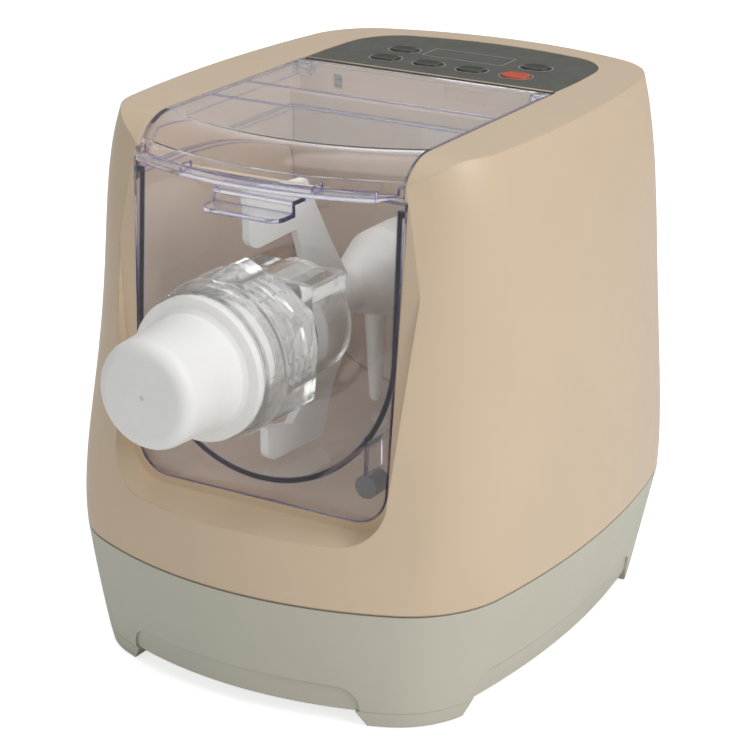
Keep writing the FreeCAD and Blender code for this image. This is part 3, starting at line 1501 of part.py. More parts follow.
def make_panel():
    """Dark control panel with its display, six buttons, board and switches."""
    top = S.top_height - S.panel_sunk
    floor = top - S.panel_thickness
    gap = S.button_gap
    display = ([(-S.display_half_width, S.display_low_y), (S.display_half_width, S.display_low_y),
                (S.display_half_width, S.display_high_y), (-S.display_half_width, S.display_high_y)], None)
    paths = [panel_path(0), display]
    for centre in BUTTONS.values():
        paths.append(stadium_path(centre, S.button_half_length + gap, S.button_half_width + gap))
    piece("control_panel", path_pad("control_panel", "XY_Plane", (ZERO, ZERO, floor), S.panel_thickness, paths))
    inset = S.display_gap
    piece("display_window", box("display_window",
                                (inset - S.display_half_width, S.display_half_width - inset),
                                (S.display_low_y + inset, S.display_high_y - inset), (floor, top)))
    crown = top + S.button_proud
    for label, centre in BUTTONS.items():
        cap = path_pad(f"{label}_cap", "XY_Plane", (ZERO, ZERO, crown - S.button_depth), S.button_depth,
                       [stadium_path(centre, S.button_half_length, S.button_half_width)])
        flange_top = floor - 0.3
        flange = path_pad(f"{label}_flange", "XY_Plane", (ZERO, ZERO, flange_top - S.button_flange), S.button_flange,
                          [stadium_path(centre, S.button_half_length + 1, S.button_half_width + 1)])
        piece(label, fuse(label, [cap, flange]))
    half = S.recess_well_half_width
    board_low = S.board_height
    board_high = board_low + S.board_thickness
    piece("control_board", box("control_board", (-half, half),
                               (board_front(), S.recess_well_rear + S.post_radius * 2), (board_low, board_high)))
    side = S.switch_size / 2
    rest = crown - S.button_depth
    switches = []
    for x, y in BUTTONS.values():
        base = box("switch_body", (x - side, x + side), (y - side, y + side), (board_high, board_high + S.switch_body))
        plunger = cylinder("switch_plunger", "z", side * 0.55, (x, y, board_high + S.switch_body),
                           rest - S.button_travel - 0.3 - board_high - S.switch_body)
        switches.append(fuse("tact_switch", [base, plunger]))
    piece("button_switches", group("button_switches", switches))
    piece("display_module", box("display_module", (-S.display_half_width + 2, S.display_half_width - 2),
                                (S.display_low_y - 1, S.display_high_y + 1), (board_high, floor - 0.3)))


def gear_wire(module, teeth, phase, narrow):
    """Return a spur gear's closed outline about the origin, with straight-sided teeth."""
    pitch_radius = module * teeth / 2
    tip = pitch_radius + module
    root = pitch_radius - 1.25 * module
    step = 2 * math.pi / teeth
    slack = narrow / pitch_radius
    shares = ((root, -0.36), (pitch_radius, -0.25), (tip, -0.12), (tip, 0.12), (pitch_radius, 0.25), (root, 0.36))
    spots = []
    for tooth in range(int(teeth)):
        centre = phase + tooth * step
        for radius, share in shares:
            angle = centre + share * step - math.copysign(slack / 2, share)
            spots.append(Vector(radius * math.cos(angle), radius * math.sin(angle), 0))
    spots.append(spots[0])
    return Part.makePolygon(spots)


def gear(name, module, teeth, tooth_up, height, rear, front, bore):
    """Make a spur gear about a Y axis; tooth_up puts a tooth, not a gap, at the top."""
    module, teeth, width = (module.number, round(teeth.number), (Size.of(rear) - front).number)
    phase = math.pi / 2 if tooth_up else math.pi / 2 + math.pi / teeth
    blank = Part.Face(gear_wire(module, teeth, phase, S.tooth_slack.number)).extrude(Vector(0, 0, width))
    blank = blank.cut(Part.makeCylinder(Size.of(bore).number, width))
    wheel = doc.addObject("Part::Feature", name)
    wheel.Shape = blank
    place(wheel, (ZERO, front, height), Rotation(Vector(1, 0, 0), -90))
    return wheel


def gear_levels():
    """Return the heights of the idler and the motor under the drive axis."""
    idler = S.axis_height - S.large_module * (S.output_teeth + S.pinion_teeth) / 2
    motor = idler - S.small_module * (S.wheel_teeth + S.motor_teeth) / 2
    return idler, motor


def make_gearbox():
    """Gearbox case and cover with bearings, shafts and the gear train."""
    wall = S.case_wall
    front = S.bay_rear + S.bay_wall
    rear = front + S.case_depth
    half = S.case_half_width
    idler_z, motor_z = gear_levels()
    outer = box("case_outer", (-half, half), (front, rear), (S.case_low, S.case_high))
    inner = box("case_inner", (wall - half, half - wall), (front + wall, rear + 1),
                (S.case_low + wall, S.case_high - wall))
    corners = []
    for side in (-1, 1):
        for z in (S.case_low + S.post_radius, S.case_high - S.post_radius):
            corners.append(((half - S.post_radius) * side, z))
    posts = [cylinder("case_post", "y", S.post_radius, (x, front, z), S.case_depth) for x, z in corners]
    seat = cylinder("bearing_seat", "y", S.bearing_radius + 3, (ZERO, front, S.axis_height), S.bearing_length)
    shell = cut("case_hollowed", outer, [inner])
    joined = fuse("case_joined", [shell, seat] + posts)
    bearing_hole = cylinder("front_bearing_hole", "y", S.bearing_radius, (ZERO, front - 1, S.axis_height),
                            S.bearing_length + 2)
    axle_hole = cylinder("case_axle_hole", "y", S.idler_axle, (ZERO, front - 1, idler_z), wall + 2)
    screw_ways = [cylinder("screw_way", "y", S.screw_radius, (x, rear - 12, z), 13) for x, z in corners]
    piece("gearbox_case", cut("gearbox_case", joined, [bearing_hole, axle_hole] + screw_ways))

    cover_plate = box("cover_plate", (-half, half), (rear, rear + wall), (S.case_low, S.case_high))
    cover_boss = cylinder("cover_boss", "y", S.bearing_radius + 3,
                          (ZERO, rear + wall - S.bearing_length, S.axis_height), S.bearing_length)
    cover_holes = [
        cylinder("rear_bearing_hole", "y", S.bearing_radius, (ZERO, rear - 20, S.axis_height), 40),
        cylinder("cover_axle_hole", "y", S.idler_axle, (ZERO, rear - 1, idler_z), wall + 2),
        cylinder("motor_nose_hole", "y", S.motor_nose + S.fit_gap, (ZERO, rear - 1, motor_z), wall + 2),
    ]
    cover_holes += [cylinder("cover_screw_hole", "y", S.screw_radius, (x, rear - 1, z), wall + 2) for x, z in corners]
    piece("gearbox_cover", cut("gearbox_cover", fuse("cover_joined", [cover_plate, cover_boss]), cover_holes))
    screws = []
    for x, z in corners:
        head = cylinder("screw_head", "y", S.screw_head, (x, rear + wall, z), S.screw_head_height)
        shank = cylinder("screw_shank", "y", S.screw_radius, (x, rear - 10, z), wall + 10)
        screws.append(fuse("gearbox_screw", [head, shank]))
    piece("gearbox_screws", group("gearbox_screws", screws))

    bore = S.shaft_radius + S.running_gap
    piece("front_bearing", ring("front_bearing", S.bearing_radius, bore, front + S.bearing_length, front))
    piece("rear_bearing", ring("rear_bearing", S.bearing_radius, bore, rear + wall, rear + wall - S.bearing_length))
    piece("bay_shaft_seal", ring("bay_shaft_seal", S.bay_shaft_hole, bore, front, S.bay_rear - S.bay_boss_height))

    piece("drive_coupler", cut("drive_coupler", hexagon("coupler_hexagon", S.coupler_flats, S.coupler_front,
                                                        S.bay_rear - S.bay_boss_height - 0.3),
                               [cylinder("coupler_bore", "y", S.shaft_radius - 2,
                                         (ZERO, S.coupler_front + 6, S.axis_height), 60)]))
    neck = cylinder("shaft_neck", "y", S.shaft_radius - 2, (ZERO, S.coupler_front + 6, S.axis_height),
                    S.bay_rear - S.coupler_front)
    main = cylinder("shaft_main", "y", S.shaft_radius, (ZERO, S.bay_rear - S.bay_boss_height - 0.3, S.axis_height),
                    rear + wall + 1.5 - S.bay_rear + S.bay_boss_height + 0.3)
    piece("drive_shaft", fuse("drive_shaft", [neck, main]))

    gear_rear = rear + wall - S.bearing_length - 0.5
    gear_front = gear_rear - S.gear_width
    output = gear("output_teeth_ring", S.large_module, S.output_teeth, False, S.axis_height, gear_rear, gear_front,
                  S.shaft_radius)
    turned = doc.addObject("Part::Compound", "output_turned")
    turned.Links = [output]
    hub = ring("output_hub", S.gear_hub, S.shaft_radius, gear_front + 1, front + S.bearing_length + 0.5)
    piece("output_gear", fuse("output_gear", [turned, hub]))

    pinion = gear("idler_pinion", S.large_module, S.pinion_teeth, True, idler_z, gear_rear, gear_front,
                  S.idler_axle + S.running_gap)
    wheel_rear = gear_front - 0.5
    wheel_front = wheel_rear - S.wheel_width
    wheel = gear("idler_wheel", S.small_module, S.wheel_teeth, True, idler_z, wheel_rear, wheel_front,
                 S.idler_axle + S.running_gap)
    collar = ring("idler_collar", S.idler_axle + 3.5, S.idler_axle + S.running_gap, gear_front + 1, wheel_front - 3,
                  idler_z)
    piece("idler_gear", fuse("idler_gear", [pinion, wheel, collar]))
    piece("idler_axle", cylinder("idler_axle", "y", S.idler_axle, (ZERO, front, idler_z), S.case_depth + wall))

    piece("motor_pinion", gear("motor_pinion", S.small_module, S.motor_teeth, True, motor_z, wheel_rear,
                               wheel_front - 1, S.motor_shaft))
    can_front = rear + wall
    can = cylinder("can_body", "y", S.motor_radius, (ZERO, can_front, motor_z), S.motor_length)
    nose = cylinder("can_nose", "y", S.motor_nose, (ZERO, can_front - S.motor_nose_length, motor_z),
                    S.motor_nose_length)
    shaft_way = cylinder("can_bore", "y", S.motor_shaft + S.running_gap, (ZERO, can_front - 10, motor_z),
                         S.motor_length + 20)
    piece("motor_can", cut("motor_can", fuse("can_joined", [can, nose]), [shaft_way]))
    fan_front = can_front + S.motor_length + S.fan_gap
    shaft_front = wheel_front - 3
    piece("motor_shaft", cylinder("motor_shaft", "y", S.motor_shaft, (ZERO, shaft_front, motor_z),
                                  fan_front + S.fan_thickness - shaft_front))
    fan_hub = ring("fan_hub", S.fan_hub, S.motor_shaft, fan_front + S.fan_thickness, fan_front, motor_z)
    blades = []
    count = round(S.fan_blade_count.number)
    for index in range(count):
        blade = box("fan_blade", (-S.fan_blade / 2, S.fan_blade / 2), (ZERO, S.fan_thickness),
                    (S.fan_hub - 1, S.fan_radius))
        holder = doc.addObject("Part::Compound", "fan_blade_turned")
        holder.Links = [blade]
        holder.Placement = Placement(Vector(0, fan_front.number, motor_z.number),
                                     Rotation(Vector(0, 1, 0), 360 / count * index))
        bind(holder, "Placement.Base.y", fan_front)
        bind(holder, "Placement.Base.z", motor_z)
        blades.append(holder)
    piece("cooling_fan", fuse("cooling_fan", [fan_hub] + blades))

    base_z = S.skirt_height + S.plate_wall
    cradle_front = can_front + (S.motor_length - S.cradle_length) / 2
    seat_drop = S.motor_radius * S.motor_radius - S.cradle_half_width * S.cradle_half_width
    cradle_top = motor_z - seat_drop.root()
    block = box("cradle_block", (-S.cradle_half_width, S.cradle_half_width),
                (cradle_front, cradle_front + S.cradle_length), (base_z, cradle_top))
    hollow = box("cradle_hollow", (S.cradle_wall - S.cradle_half_width, S.cradle_half_width - S.cradle_wall),
                 (cradle_front - 1, cradle_front + S.cradle_length + 1),
                 (base_z + S.cradle_wall, cradle_top - S.motor_radius / 2))
    seat_cut = cylinder("cradle_seat", "y", S.motor_radius, (ZERO, cradle_front - 1, motor_z), S.cradle_length + 2)
    piece("motor_cradle", cut("motor_cradle", block, [hollow, seat_cut]))


def make_electronics():
    """Supply board on posts over the bottom plate, lid switch and cord inlet."""
    base_z = S.skirt_height + S.plate_wall
    low = base_z + S.supply_height
    half = S.supply_half_width
    piece("supply_board", box("supply_board", (-half, half), (S.supply_front, S.supply_rear),
                              (low, low + S.board_thickness)))
    spots = []
    for side in (-1, 1):
        for y in (S.supply_front + S.supply_inset, S.supply_rear - S.supply_inset):
            spots.append(((half - S.supply_inset) * side, y))
    piece("board_posts", group("board_posts", [
        cylinder("board_stand", "z", S.post_radius, (x, y, base_z), S.supply_height) for x, y in spots]))
    top = low + S.board_thickness
    coil = box("transformer", (-S.coil_side, ZERO), (-S.coil_side / 2, S.coil_side / 2), (top, top + S.coil_height))
    cans = [cylinder("capacitor", "z", S.capacitor_radius, (S.coil_side, y, top), S.capacitor_height)
            for y in (-S.coil_side, S.coil_side * 0)]
    piece("supply_components", group("supply_components", [coil] + cans))

    rear_wall = S.bay_step_rear + S.bay_wall
    across = S.lid_switch_across
    body = box("lid_switch_body", (across, across + S.lid_switch_length), (rear_wall, rear_wall + S.lid_switch_depth),
               (S.bay_step_height - S.lid_switch_height, S.bay_step_height))
    piece("lid_switch", body)

    centre = (S.inlet_across, S.inlet_height)
    sleeve = cylinder("inlet_sleeve", "y", S.inlet_radius - 0.1, (centre[0], S.belly_rear - 18, centre[1]), 18)
    collar_y = S.belly_rear + 0.6
    flange = cylinder("inlet_flange", "y", S.inlet_flange, (centre[0], collar_y - S.inlet_flange_length, centre[1]),
                      S.inlet_flange_length)
    bore = cylinder("inlet_bore", "y", S.inlet_bore, (centre[0], S.belly_rear - 30, centre[1]), 60)
    piece("cord_inlet", cut("cord_inlet", fuse("inlet_joined", [sleeve, flange]), [bore]))


def check_document():
    """Stop if any object failed or any sub-part isn't a sound set of solids."""
    doc.recompute()
    faults = [thing.Label for thing in doc.Objects if "Invalid" in thing.State or "Error" in thing.State]
    for label, thing in pieces.items():
        shape = thing.Shape
        if shape.isNull() or not shape.isValid() or not shape.Solids:
            faults.append(label)
    if faults:
        raise RuntimeError(f"failed objects: {faults}")


def write_parts():
    """Write each sub-part's shape to its own file."""
    os.makedirs("parts", exist_ok=True)
    for label, thing in pieces.items():
        thing.Shape.exportStep(f"parts/{label}.step")
        bounds = thing.Shape.BoundBox
        print(f"{label:22s} solids {len(thing.Shape.Solids):2d} volume {thing.Shape.Volume:10.0f}",
              f"x {bounds.XMin:.1f} {bounds.XMax:.1f} y {bounds.YMin:.1f} {bounds.YMax:.1f}",
              f"z {bounds.ZMin:.1f} {bounds.ZMax:.1f}")


make_upper_housing()
make_base()
make_bay()
make_lid()
make_chamber()
make_barrel()
make_auger()
make_stirring_bar()
make_nozzle()
make_panel()
make_gearbox()
make_electronics()
check_document()
write_parts()
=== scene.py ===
"""Looks of a countertop electric pasta maker, dressed over its packed construction model.

Lengths are metres in the model's frame: +Z up, the nozzle towards -Y, the drive axis above the origin.
"""

from __future__ import annotations

import json
import logging
import math
from dataclasses import dataclass, field
from enum import Enum
from typing import Any, Sequence

import bmesh
import bpy
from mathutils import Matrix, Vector

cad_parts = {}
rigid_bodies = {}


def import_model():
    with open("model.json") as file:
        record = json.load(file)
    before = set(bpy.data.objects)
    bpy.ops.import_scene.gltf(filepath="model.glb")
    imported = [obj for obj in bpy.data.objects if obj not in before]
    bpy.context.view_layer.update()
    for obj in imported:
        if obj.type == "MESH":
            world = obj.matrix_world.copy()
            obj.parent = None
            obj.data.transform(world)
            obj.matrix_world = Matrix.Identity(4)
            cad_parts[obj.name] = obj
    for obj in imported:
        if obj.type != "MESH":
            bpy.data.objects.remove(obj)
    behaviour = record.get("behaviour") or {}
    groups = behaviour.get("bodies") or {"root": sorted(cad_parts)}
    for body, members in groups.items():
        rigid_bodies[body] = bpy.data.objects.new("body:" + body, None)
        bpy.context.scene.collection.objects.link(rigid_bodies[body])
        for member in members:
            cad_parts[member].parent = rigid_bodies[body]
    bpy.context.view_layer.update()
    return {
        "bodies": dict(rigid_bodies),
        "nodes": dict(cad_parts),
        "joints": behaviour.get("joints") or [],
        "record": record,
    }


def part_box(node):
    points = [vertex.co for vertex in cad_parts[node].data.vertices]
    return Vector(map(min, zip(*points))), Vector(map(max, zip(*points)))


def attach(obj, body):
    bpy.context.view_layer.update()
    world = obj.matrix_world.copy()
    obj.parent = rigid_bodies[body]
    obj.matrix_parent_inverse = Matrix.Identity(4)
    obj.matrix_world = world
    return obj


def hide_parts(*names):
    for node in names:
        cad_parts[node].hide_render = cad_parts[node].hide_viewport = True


LOG = logging.getLogger("pasta_maker")
Colour = tuple[float, float, float]
Point = tuple[float, float, float]
Spot = tuple[float, float]


def ink(red: int, green: int, blue: int) -> Colour:
    """Turn a display colour into a linear one.

    Args:
        red: Red from 0 to 255.
        green: Green from 0 to 255.
        blue: Blue from 0 to 255.

    Returns:
        The linear colour.
    """
    shares = (channel / 255 for channel in (red, green, blue))
    return tuple(share / 12.92 if share < 0.04045 else ((share + 0.055) / 1.055) ** 2.4 for share in shares)


class Graph:
    """One material's node tree, with short ways to add and join nodes."""

    def __init__(self, name: str) -> None:
        """Start an empty tree.

        Args:
            name: The material's name.
        """
        self.material = bpy.data.materials.new(name)
        self.material.use_nodes = True
        self.tree = self.material.node_tree
        self.tree.nodes.clear()
        self.output = self.add("ShaderNodeOutputMaterial")

    def add(self, kind: str, inputs: dict[str | int, Any] | None = None, **settings: Any) -> bpy.types.Node:
        """Add a node, set its properties and join or fill its inputs.

        Args:
            kind: The node's type name.
            inputs: Socket name or number to a value or another node's socket.
            **settings: Properties of the node itself.

        Returns:
            The new node.
        """
        node = self.tree.nodes.new(kind)
        for label, value in settings.items():
            setattr(node, label, value)
        for socket, value in (inputs or {}).items():
            self.feed(node.inputs[socket], value)
        return node

    def feed(self, socket: bpy.types.NodeSocket, value: Any) -> None:
        """Join a socket to another, or set its own value.

        Args:
            socket: The input.
            value: Another node's socket, a number or a colour.
        """
        if isinstance(value, bpy.types.NodeSocket):
            self.tree.links.new(value, socket)
        elif socket.type == "RGBA":
            socket.default_value = (*value[:3], 1.0)
        else:
            socket.default_value = value

    def place(self) -> bpy.types.NodeSocket:
        """Return the object-space position, which rides with the piece."""
        return self.add("ShaderNodeTexCoord").outputs["Object"]

    def noise(self, scale: float, detail: float = 3.0, rough: float = 0.5,
              vector: bpy.types.NodeSocket | None = None) -> bpy.types.NodeSocket:
        """Return a noise value between 0 and 1.

        Args:
            scale: Features per metre.
            detail: Octaves.
            rough: Weight of the small octaves.
            vector: Where to read it; the object-space position if not given.

        Returns:
            The noise socket.
        """
        node = self.add("ShaderNodeTexNoise", {"Vector": vector or self.place(), "Scale": scale,
                                               "Detail": detail, "Roughness": rough})
        return node.outputs["Fac"]

    def sum(self, operation: str, first: Any, second: Any = 0.0) -> bpy.types.NodeSocket:
        """Return the result of one arithmetic step.

        Args:
            operation: Blender's name of the step.
            first: A number or socket.
            second: A number or socket, where the step has two.

        Returns:
            The result socket.
        """
        return self.add("ShaderNodeMath", {0: first, 1: second}, operation=operation).outputs[0]

    def fit(self, value: Any, low: float, high: float, to_low: float, to_high: float) -> bpy.types.NodeSocket:
        """Return a value carried from one span to another, held inside it.

        Args:
            value: The socket to carry over.
            low: Start of its span.
            high: End of its span.
            to_low: Result at the start.
            to_high: Result at the end.

        Returns:
            The result socket.
        """
        node = self.add("ShaderNodeMapRange", {"Value": value, "From Min": low, "From Max": high,
                                               "To Min": to_low, "To Max": to_high})
        return node.outputs["Result"]

    def mix(self, share: Any, first: Any, second: Any) -> bpy.types.NodeSocket:
        """Return two colours mixed.

        Args:
            share: How much of the second.
            first: Colour or socket.
            second: Colour or socket.

        Returns:
            The colour socket.
        """
        node = self.add("ShaderNodeMix", data_type="RGBA")
        self.feed(node.inputs[0], share)
        self.feed(node.inputs[6], first)
        self.feed(node.inputs[7], second)
        return node.outputs[2]

    def axis(self, vector: bpy.types.NodeSocket, letter: str) -> bpy.types.NodeSocket:
        """Return one axis of a vector.

        Args:
            vector: The vector socket.
            letter: X, Y or Z.

        Returns:
            The number socket.
        """
        return self.add("ShaderNodeSeparateXYZ", {0: vector}).outputs[letter]

    def relief(self, height: bpy.types.NodeSocket, depth: float, radius: float = 0.0) -> bpy.types.NodeSocket:
        """Return a normal with a bumped surface and softened edges.

        Args:
            height: The relief, from 0 to 1.
            depth: Its depth in metres.
            radius: Edge softening radius in metres.

        Returns:
            The normal socket.
        """
        inputs: dict[str | int, Any] = {"Height": height, "Distance": depth, "Strength": 1.0}
        if radius:
            inputs["Normal"] = self.add("ShaderNodeBevel", {"Radius": radius}, samples=6).outputs[0]
        return self.add("ShaderNodeBump", inputs).outputs[0]

    def surface(self, inputs: dict[str, Any]) -> bpy.types.Material:
        """Close the tree with one principled surface.

        Args:
            inputs: Socket name to value or socket.

        Returns:
            The finished material.
        """
        shader = self.add("ShaderNodeBsdfPrincipled", inputs)
        self.tree.links.new(shader.outputs[0], self.output.inputs["Surface"])
        return self.material


@dataclass(frozen=True)
class MouldedPlastic:
    """An opaque moulding: fine spark-erosion grain, faint flow clouds, rare specks and, where a seam height
    is given, a painted shade band along the seam.
    """

    name: str
    colour: Colour
    roughness: float = 0.36
    grain: float = 0.000012
    grain_scale: float = 2600.0
    cloud: float = 0.022
    specks: float = 0.3
    edge: float = 0.0007
    seam: float = 0.0
    cloud_scale: float = 14.0
    speck_scale: float = 46.0
    speck_core: float = 0.014
    speck_edge: float = 0.026
    speck_rarity: float = 0.88
    speck_and_seam_shade_share: float = 0.45
    seam_shade_core: float = 0.0003
    seam_shade_edge: float = 0.0008
    seam_shade_share: float = 0.55
    wear_scale: float = 95.0

    def make(self) -> bpy.types.Material:
        """Build the material."""
        graph = Graph(self.name)
        cloud = graph.noise(self.cloud_scale, 3.0, 0.55)
        darker = tuple(channel * (1 - self.cloud) for channel in self.colour)
        lighter = tuple(min(channel * (1 + self.cloud * 0.5), 1.0) for channel in self.colour)
        body = graph.mix(graph.fit(cloud, 0.35, 0.65, 0.0, 1.0), darker, lighter)
        cells = graph.add("ShaderNodeTexVoronoi", {"Vector": graph.place(), "Scale": self.speck_scale})
        near = graph.fit(cells.outputs["Distance"], self.speck_core, self.speck_edge, self.specks, 0.0)
        pick = graph.sum("GREATER_THAN", graph.axis(cells.outputs["Color"], "X"), self.speck_rarity)
        # Dark colour for the real dust specks, also used for the painted seam shade below.
        speck_and_seam_shade_colour = tuple(channel * self.speck_and_seam_shade_share for channel in self.colour)
        tinted = graph.mix(graph.sum("MULTIPLY", near, pick), body, speck_and_seam_shade_colour)
        # Painted shade: a dark band along the housing-to-base joint at height seam, standing in for the
        # shadow in the gap.
        if self.seam:
            away = graph.sum("ABSOLUTE", graph.sum("SUBTRACT", graph.axis(graph.place(), "Z"), self.seam))
            shaded = graph.fit(away, self.seam_shade_core, self.seam_shade_edge, self.seam_shade_share, 0.0)
            tinted = graph.mix(shaded, tinted, speck_and_seam_shade_colour)
        grain = graph.noise(self.grain_scale, 2.0, 0.6)
        wear = graph.noise(self.wear_scale, 4.0, 0.65)
        gloss = graph.fit(wear, 0.3, 0.7, self.roughness - 0.05, self.roughness + 0.06)
        return graph.surface({
            "Base Color": tinted,
            "Roughness": gloss,
            "IOR": 1.5,
            "Normal": graph.relief(grain, self.grain, self.edge),
        })


@dataclass(frozen=True)
class ClearPlastic:
    """Clear polycarbonate whose rims gather a blue violet and whose faces carry faint scratches."""

    name: str
    tint: Colour
    rim_tint: Colour
    depth_tint: Colour
    density: float = 9.0
    clarity: float = 0.96
    roughness: float = 0.02
    ripple: float = 0.00002
    rim: float = 0.0013
    rim_clarity: float = 0.6
    shade: float = 0.12
    scratch_stretch: Point = (400.0, 30.0, 60.0)
    scratch_turn: Point = (0.3, 0.2, 0.5)
    scratch_haze: float = 0.09
    smear_scale: float = 38.0
    rim_start: float = 0.98
    rim_full: float = 0.78

    def make(self) -> bpy.types.Material:
        """Build the material."""
        graph = Graph(self.name)
        scratch_space = graph.add("ShaderNodeMapping", {
            "Vector": graph.place(), "Scale": self.scratch_stretch, "Rotation": self.scratch_turn})
        scratches = graph.noise(6.0, 4.0, 0.7, scratch_space.outputs[0])
        smear = graph.noise(self.smear_scale, 3.0, 0.6)
        patches = graph.fit(smear, 0.4, 0.6, 0.2, 1.0)
        haze = graph.sum("MULTIPLY", graph.fit(scratches, 0.62, 0.75, 0.0, self.scratch_haze), patches)
        rounded = graph.add("ShaderNodeBevel", {"Radius": self.rim}, samples=4)
        plain = graph.add("ShaderNodeNewGeometry")
        turned = graph.add("ShaderNodeVectorMath", {0: rounded.outputs[0], 1: plain.outputs["Normal"]},
                           operation="DOT_PRODUCT")
        at_rim = graph.fit(turned.outputs["Value"], self.rim_start, self.rim_full, 0.0, 1.0)
        path = graph.add("ShaderNodeLightPath")
        lights = graph.sum("MAXIMUM", path.outputs["Is Shadow Ray"], path.outputs["Is Diffuse Ray"])
        material = graph.surface({
            "Base Color": graph.mix(at_rim, self.tint, self.rim_tint),
            "Roughness": graph.sum("ADD", haze, self.roughness),
            "IOR": 1.49,
            "Transmission Weight": graph.fit(at_rim, 0.0, 1.0, self.clarity, self.rim_clarity),
            "Alpha": graph.fit(lights, 0.0, 1.0, 1.0, self.shade),
            "Normal": graph.relief(smear, self.ripple),
        })
        volume = graph.add("ShaderNodeVolumeAbsorption", {"Color": self.depth_tint, "Density": self.density})
        graph.tree.links.new(volume.outputs[0], graph.output.inputs["Volume"])
        return material


@dataclass(frozen=True)
class MilkyPlastic:
    """Soft white plastic that glows a little from inside."""

    name: str
    colour: Colour
    roughness: float = 0.38
    depth: float = 0.004
    share: float = 0.35
    mottle: float = 0.035
    mark: bool = False
    mark_centre: Point = (0.0, -0.1785, 0.185)
    mark_radius: float = 0.0016
    mark_share: float = 0.5
    mark_shade: float = 0.55
    flow_scale: float = 60.0
    grain_scale: float = 1500.0
    grain: float = 0.00002
    edge: float = 0.0006
    glow: Colour = (1.0, 0.95, 0.85)

    def make(self) -> bpy.types.Material:
        """Build the material."""
        graph = Graph(self.name)
        flow = graph.noise(self.flow_scale, 4.0, 0.6)
        darker = tuple(channel * (1 - self.mottle) for channel in self.colour)
        body = graph.mix(graph.fit(flow, 0.35, 0.65, 0.0, 1.0), darker, self.colour)
        if self.mark:
            away = graph.add("ShaderNodeVectorMath", {0: graph.place(), 1: self.mark_centre},
                             operation="DISTANCE")
            share = graph.fit(away.outputs["Value"], self.mark_radius * 0.6, self.mark_radius,
                              self.mark_share, 0.0)
            body = graph.mix(share, body, tuple(channel * self.mark_shade for channel in self.colour))
        grain = graph.noise(self.grain_scale, 3.0, 0.6)
        return graph.surface({
            "Base Color": body,
            "Roughness": graph.fit(flow, 0.3, 0.7, self.roughness - 0.05, self.roughness + 0.08),
            "Subsurface Weight": self.share,
            "Subsurface Radius": self.glow,
            "Subsurface Scale": self.depth,
            "Normal": graph.relief(grain, self.grain, self.edge),
        })


@dataclass(frozen=True)
class WorkedMetal:
    """A metal with fine tool marks."""

    name: str
    colour: Colour
    roughness: float = 0.3
    marks: float = 0.00001
    edge: float = 0.0003
    mark_stretch: Point = (900.0, 60.0, 900.0)
    stain_scale: float = 70.0
    stain_shade: float = 0.8

    def make(self) -> bpy.types.Material:
        """Build the material."""
        graph = Graph(self.name)
        stretched = graph.add("ShaderNodeMapping", {"Vector": graph.place(), "Scale": self.mark_stretch})
        lines = graph.noise(3.0, 4.0, 0.6, stretched.outputs[0])
        stain = graph.noise(self.stain_scale, 3.0, 0.5)
        dull = tuple(channel * self.stain_shade for channel in self.colour)
        return graph.surface({
            "Base Color": graph.mix(graph.fit(stain, 0.35, 0.7, 0.0, 1.0), dull, self.colour),
            "Metallic": 1.0,
            "Roughness": graph.fit(lines, 0.3, 0.7, self.roughness - 0.07, self.roughness + 0.1),
            "Normal": graph.relief(lines, self.marks, self.edge),
        })


@dataclass(frozen=True)
class CircuitBoard:
    """Green solder mask with lighter tracks under it."""

    name: str
    mask: Colour
    track: Colour
    track_width: float = 0.0004
    track_length: float = 0.011
    track_pitch: float = 0.0031
    track_height: float = 0.00004

    def make(self) -> bpy.types.Material:
        """Build the material."""
        graph = Graph(self.name)
        tracks = graph.add("ShaderNodeTexBrick", {
            "Vector": graph.place(), "Color1": (0.0, 0.0, 0.0), "Color2": (0.0, 0.0, 0.0),
            "Mortar": (1.0, 1.0, 1.0), "Scale": 1.0, "Mortar Size": self.track_width,
            "Brick Width": self.track_length, "Row Height": self.track_pitch})
        cloud = graph.noise(500.0, 2.0)
        body = graph.mix(graph.axis(tracks.outputs["Color"], "X"), self.mask, self.track)
        return graph.surface({
            "Base Color": body,
            "Roughness": graph.fit(cloud, 0.3, 0.7, 0.25, 0.4),
            "Normal": graph.relief(graph.axis(tracks.outputs["Color"], "X"), self.track_height),
        })


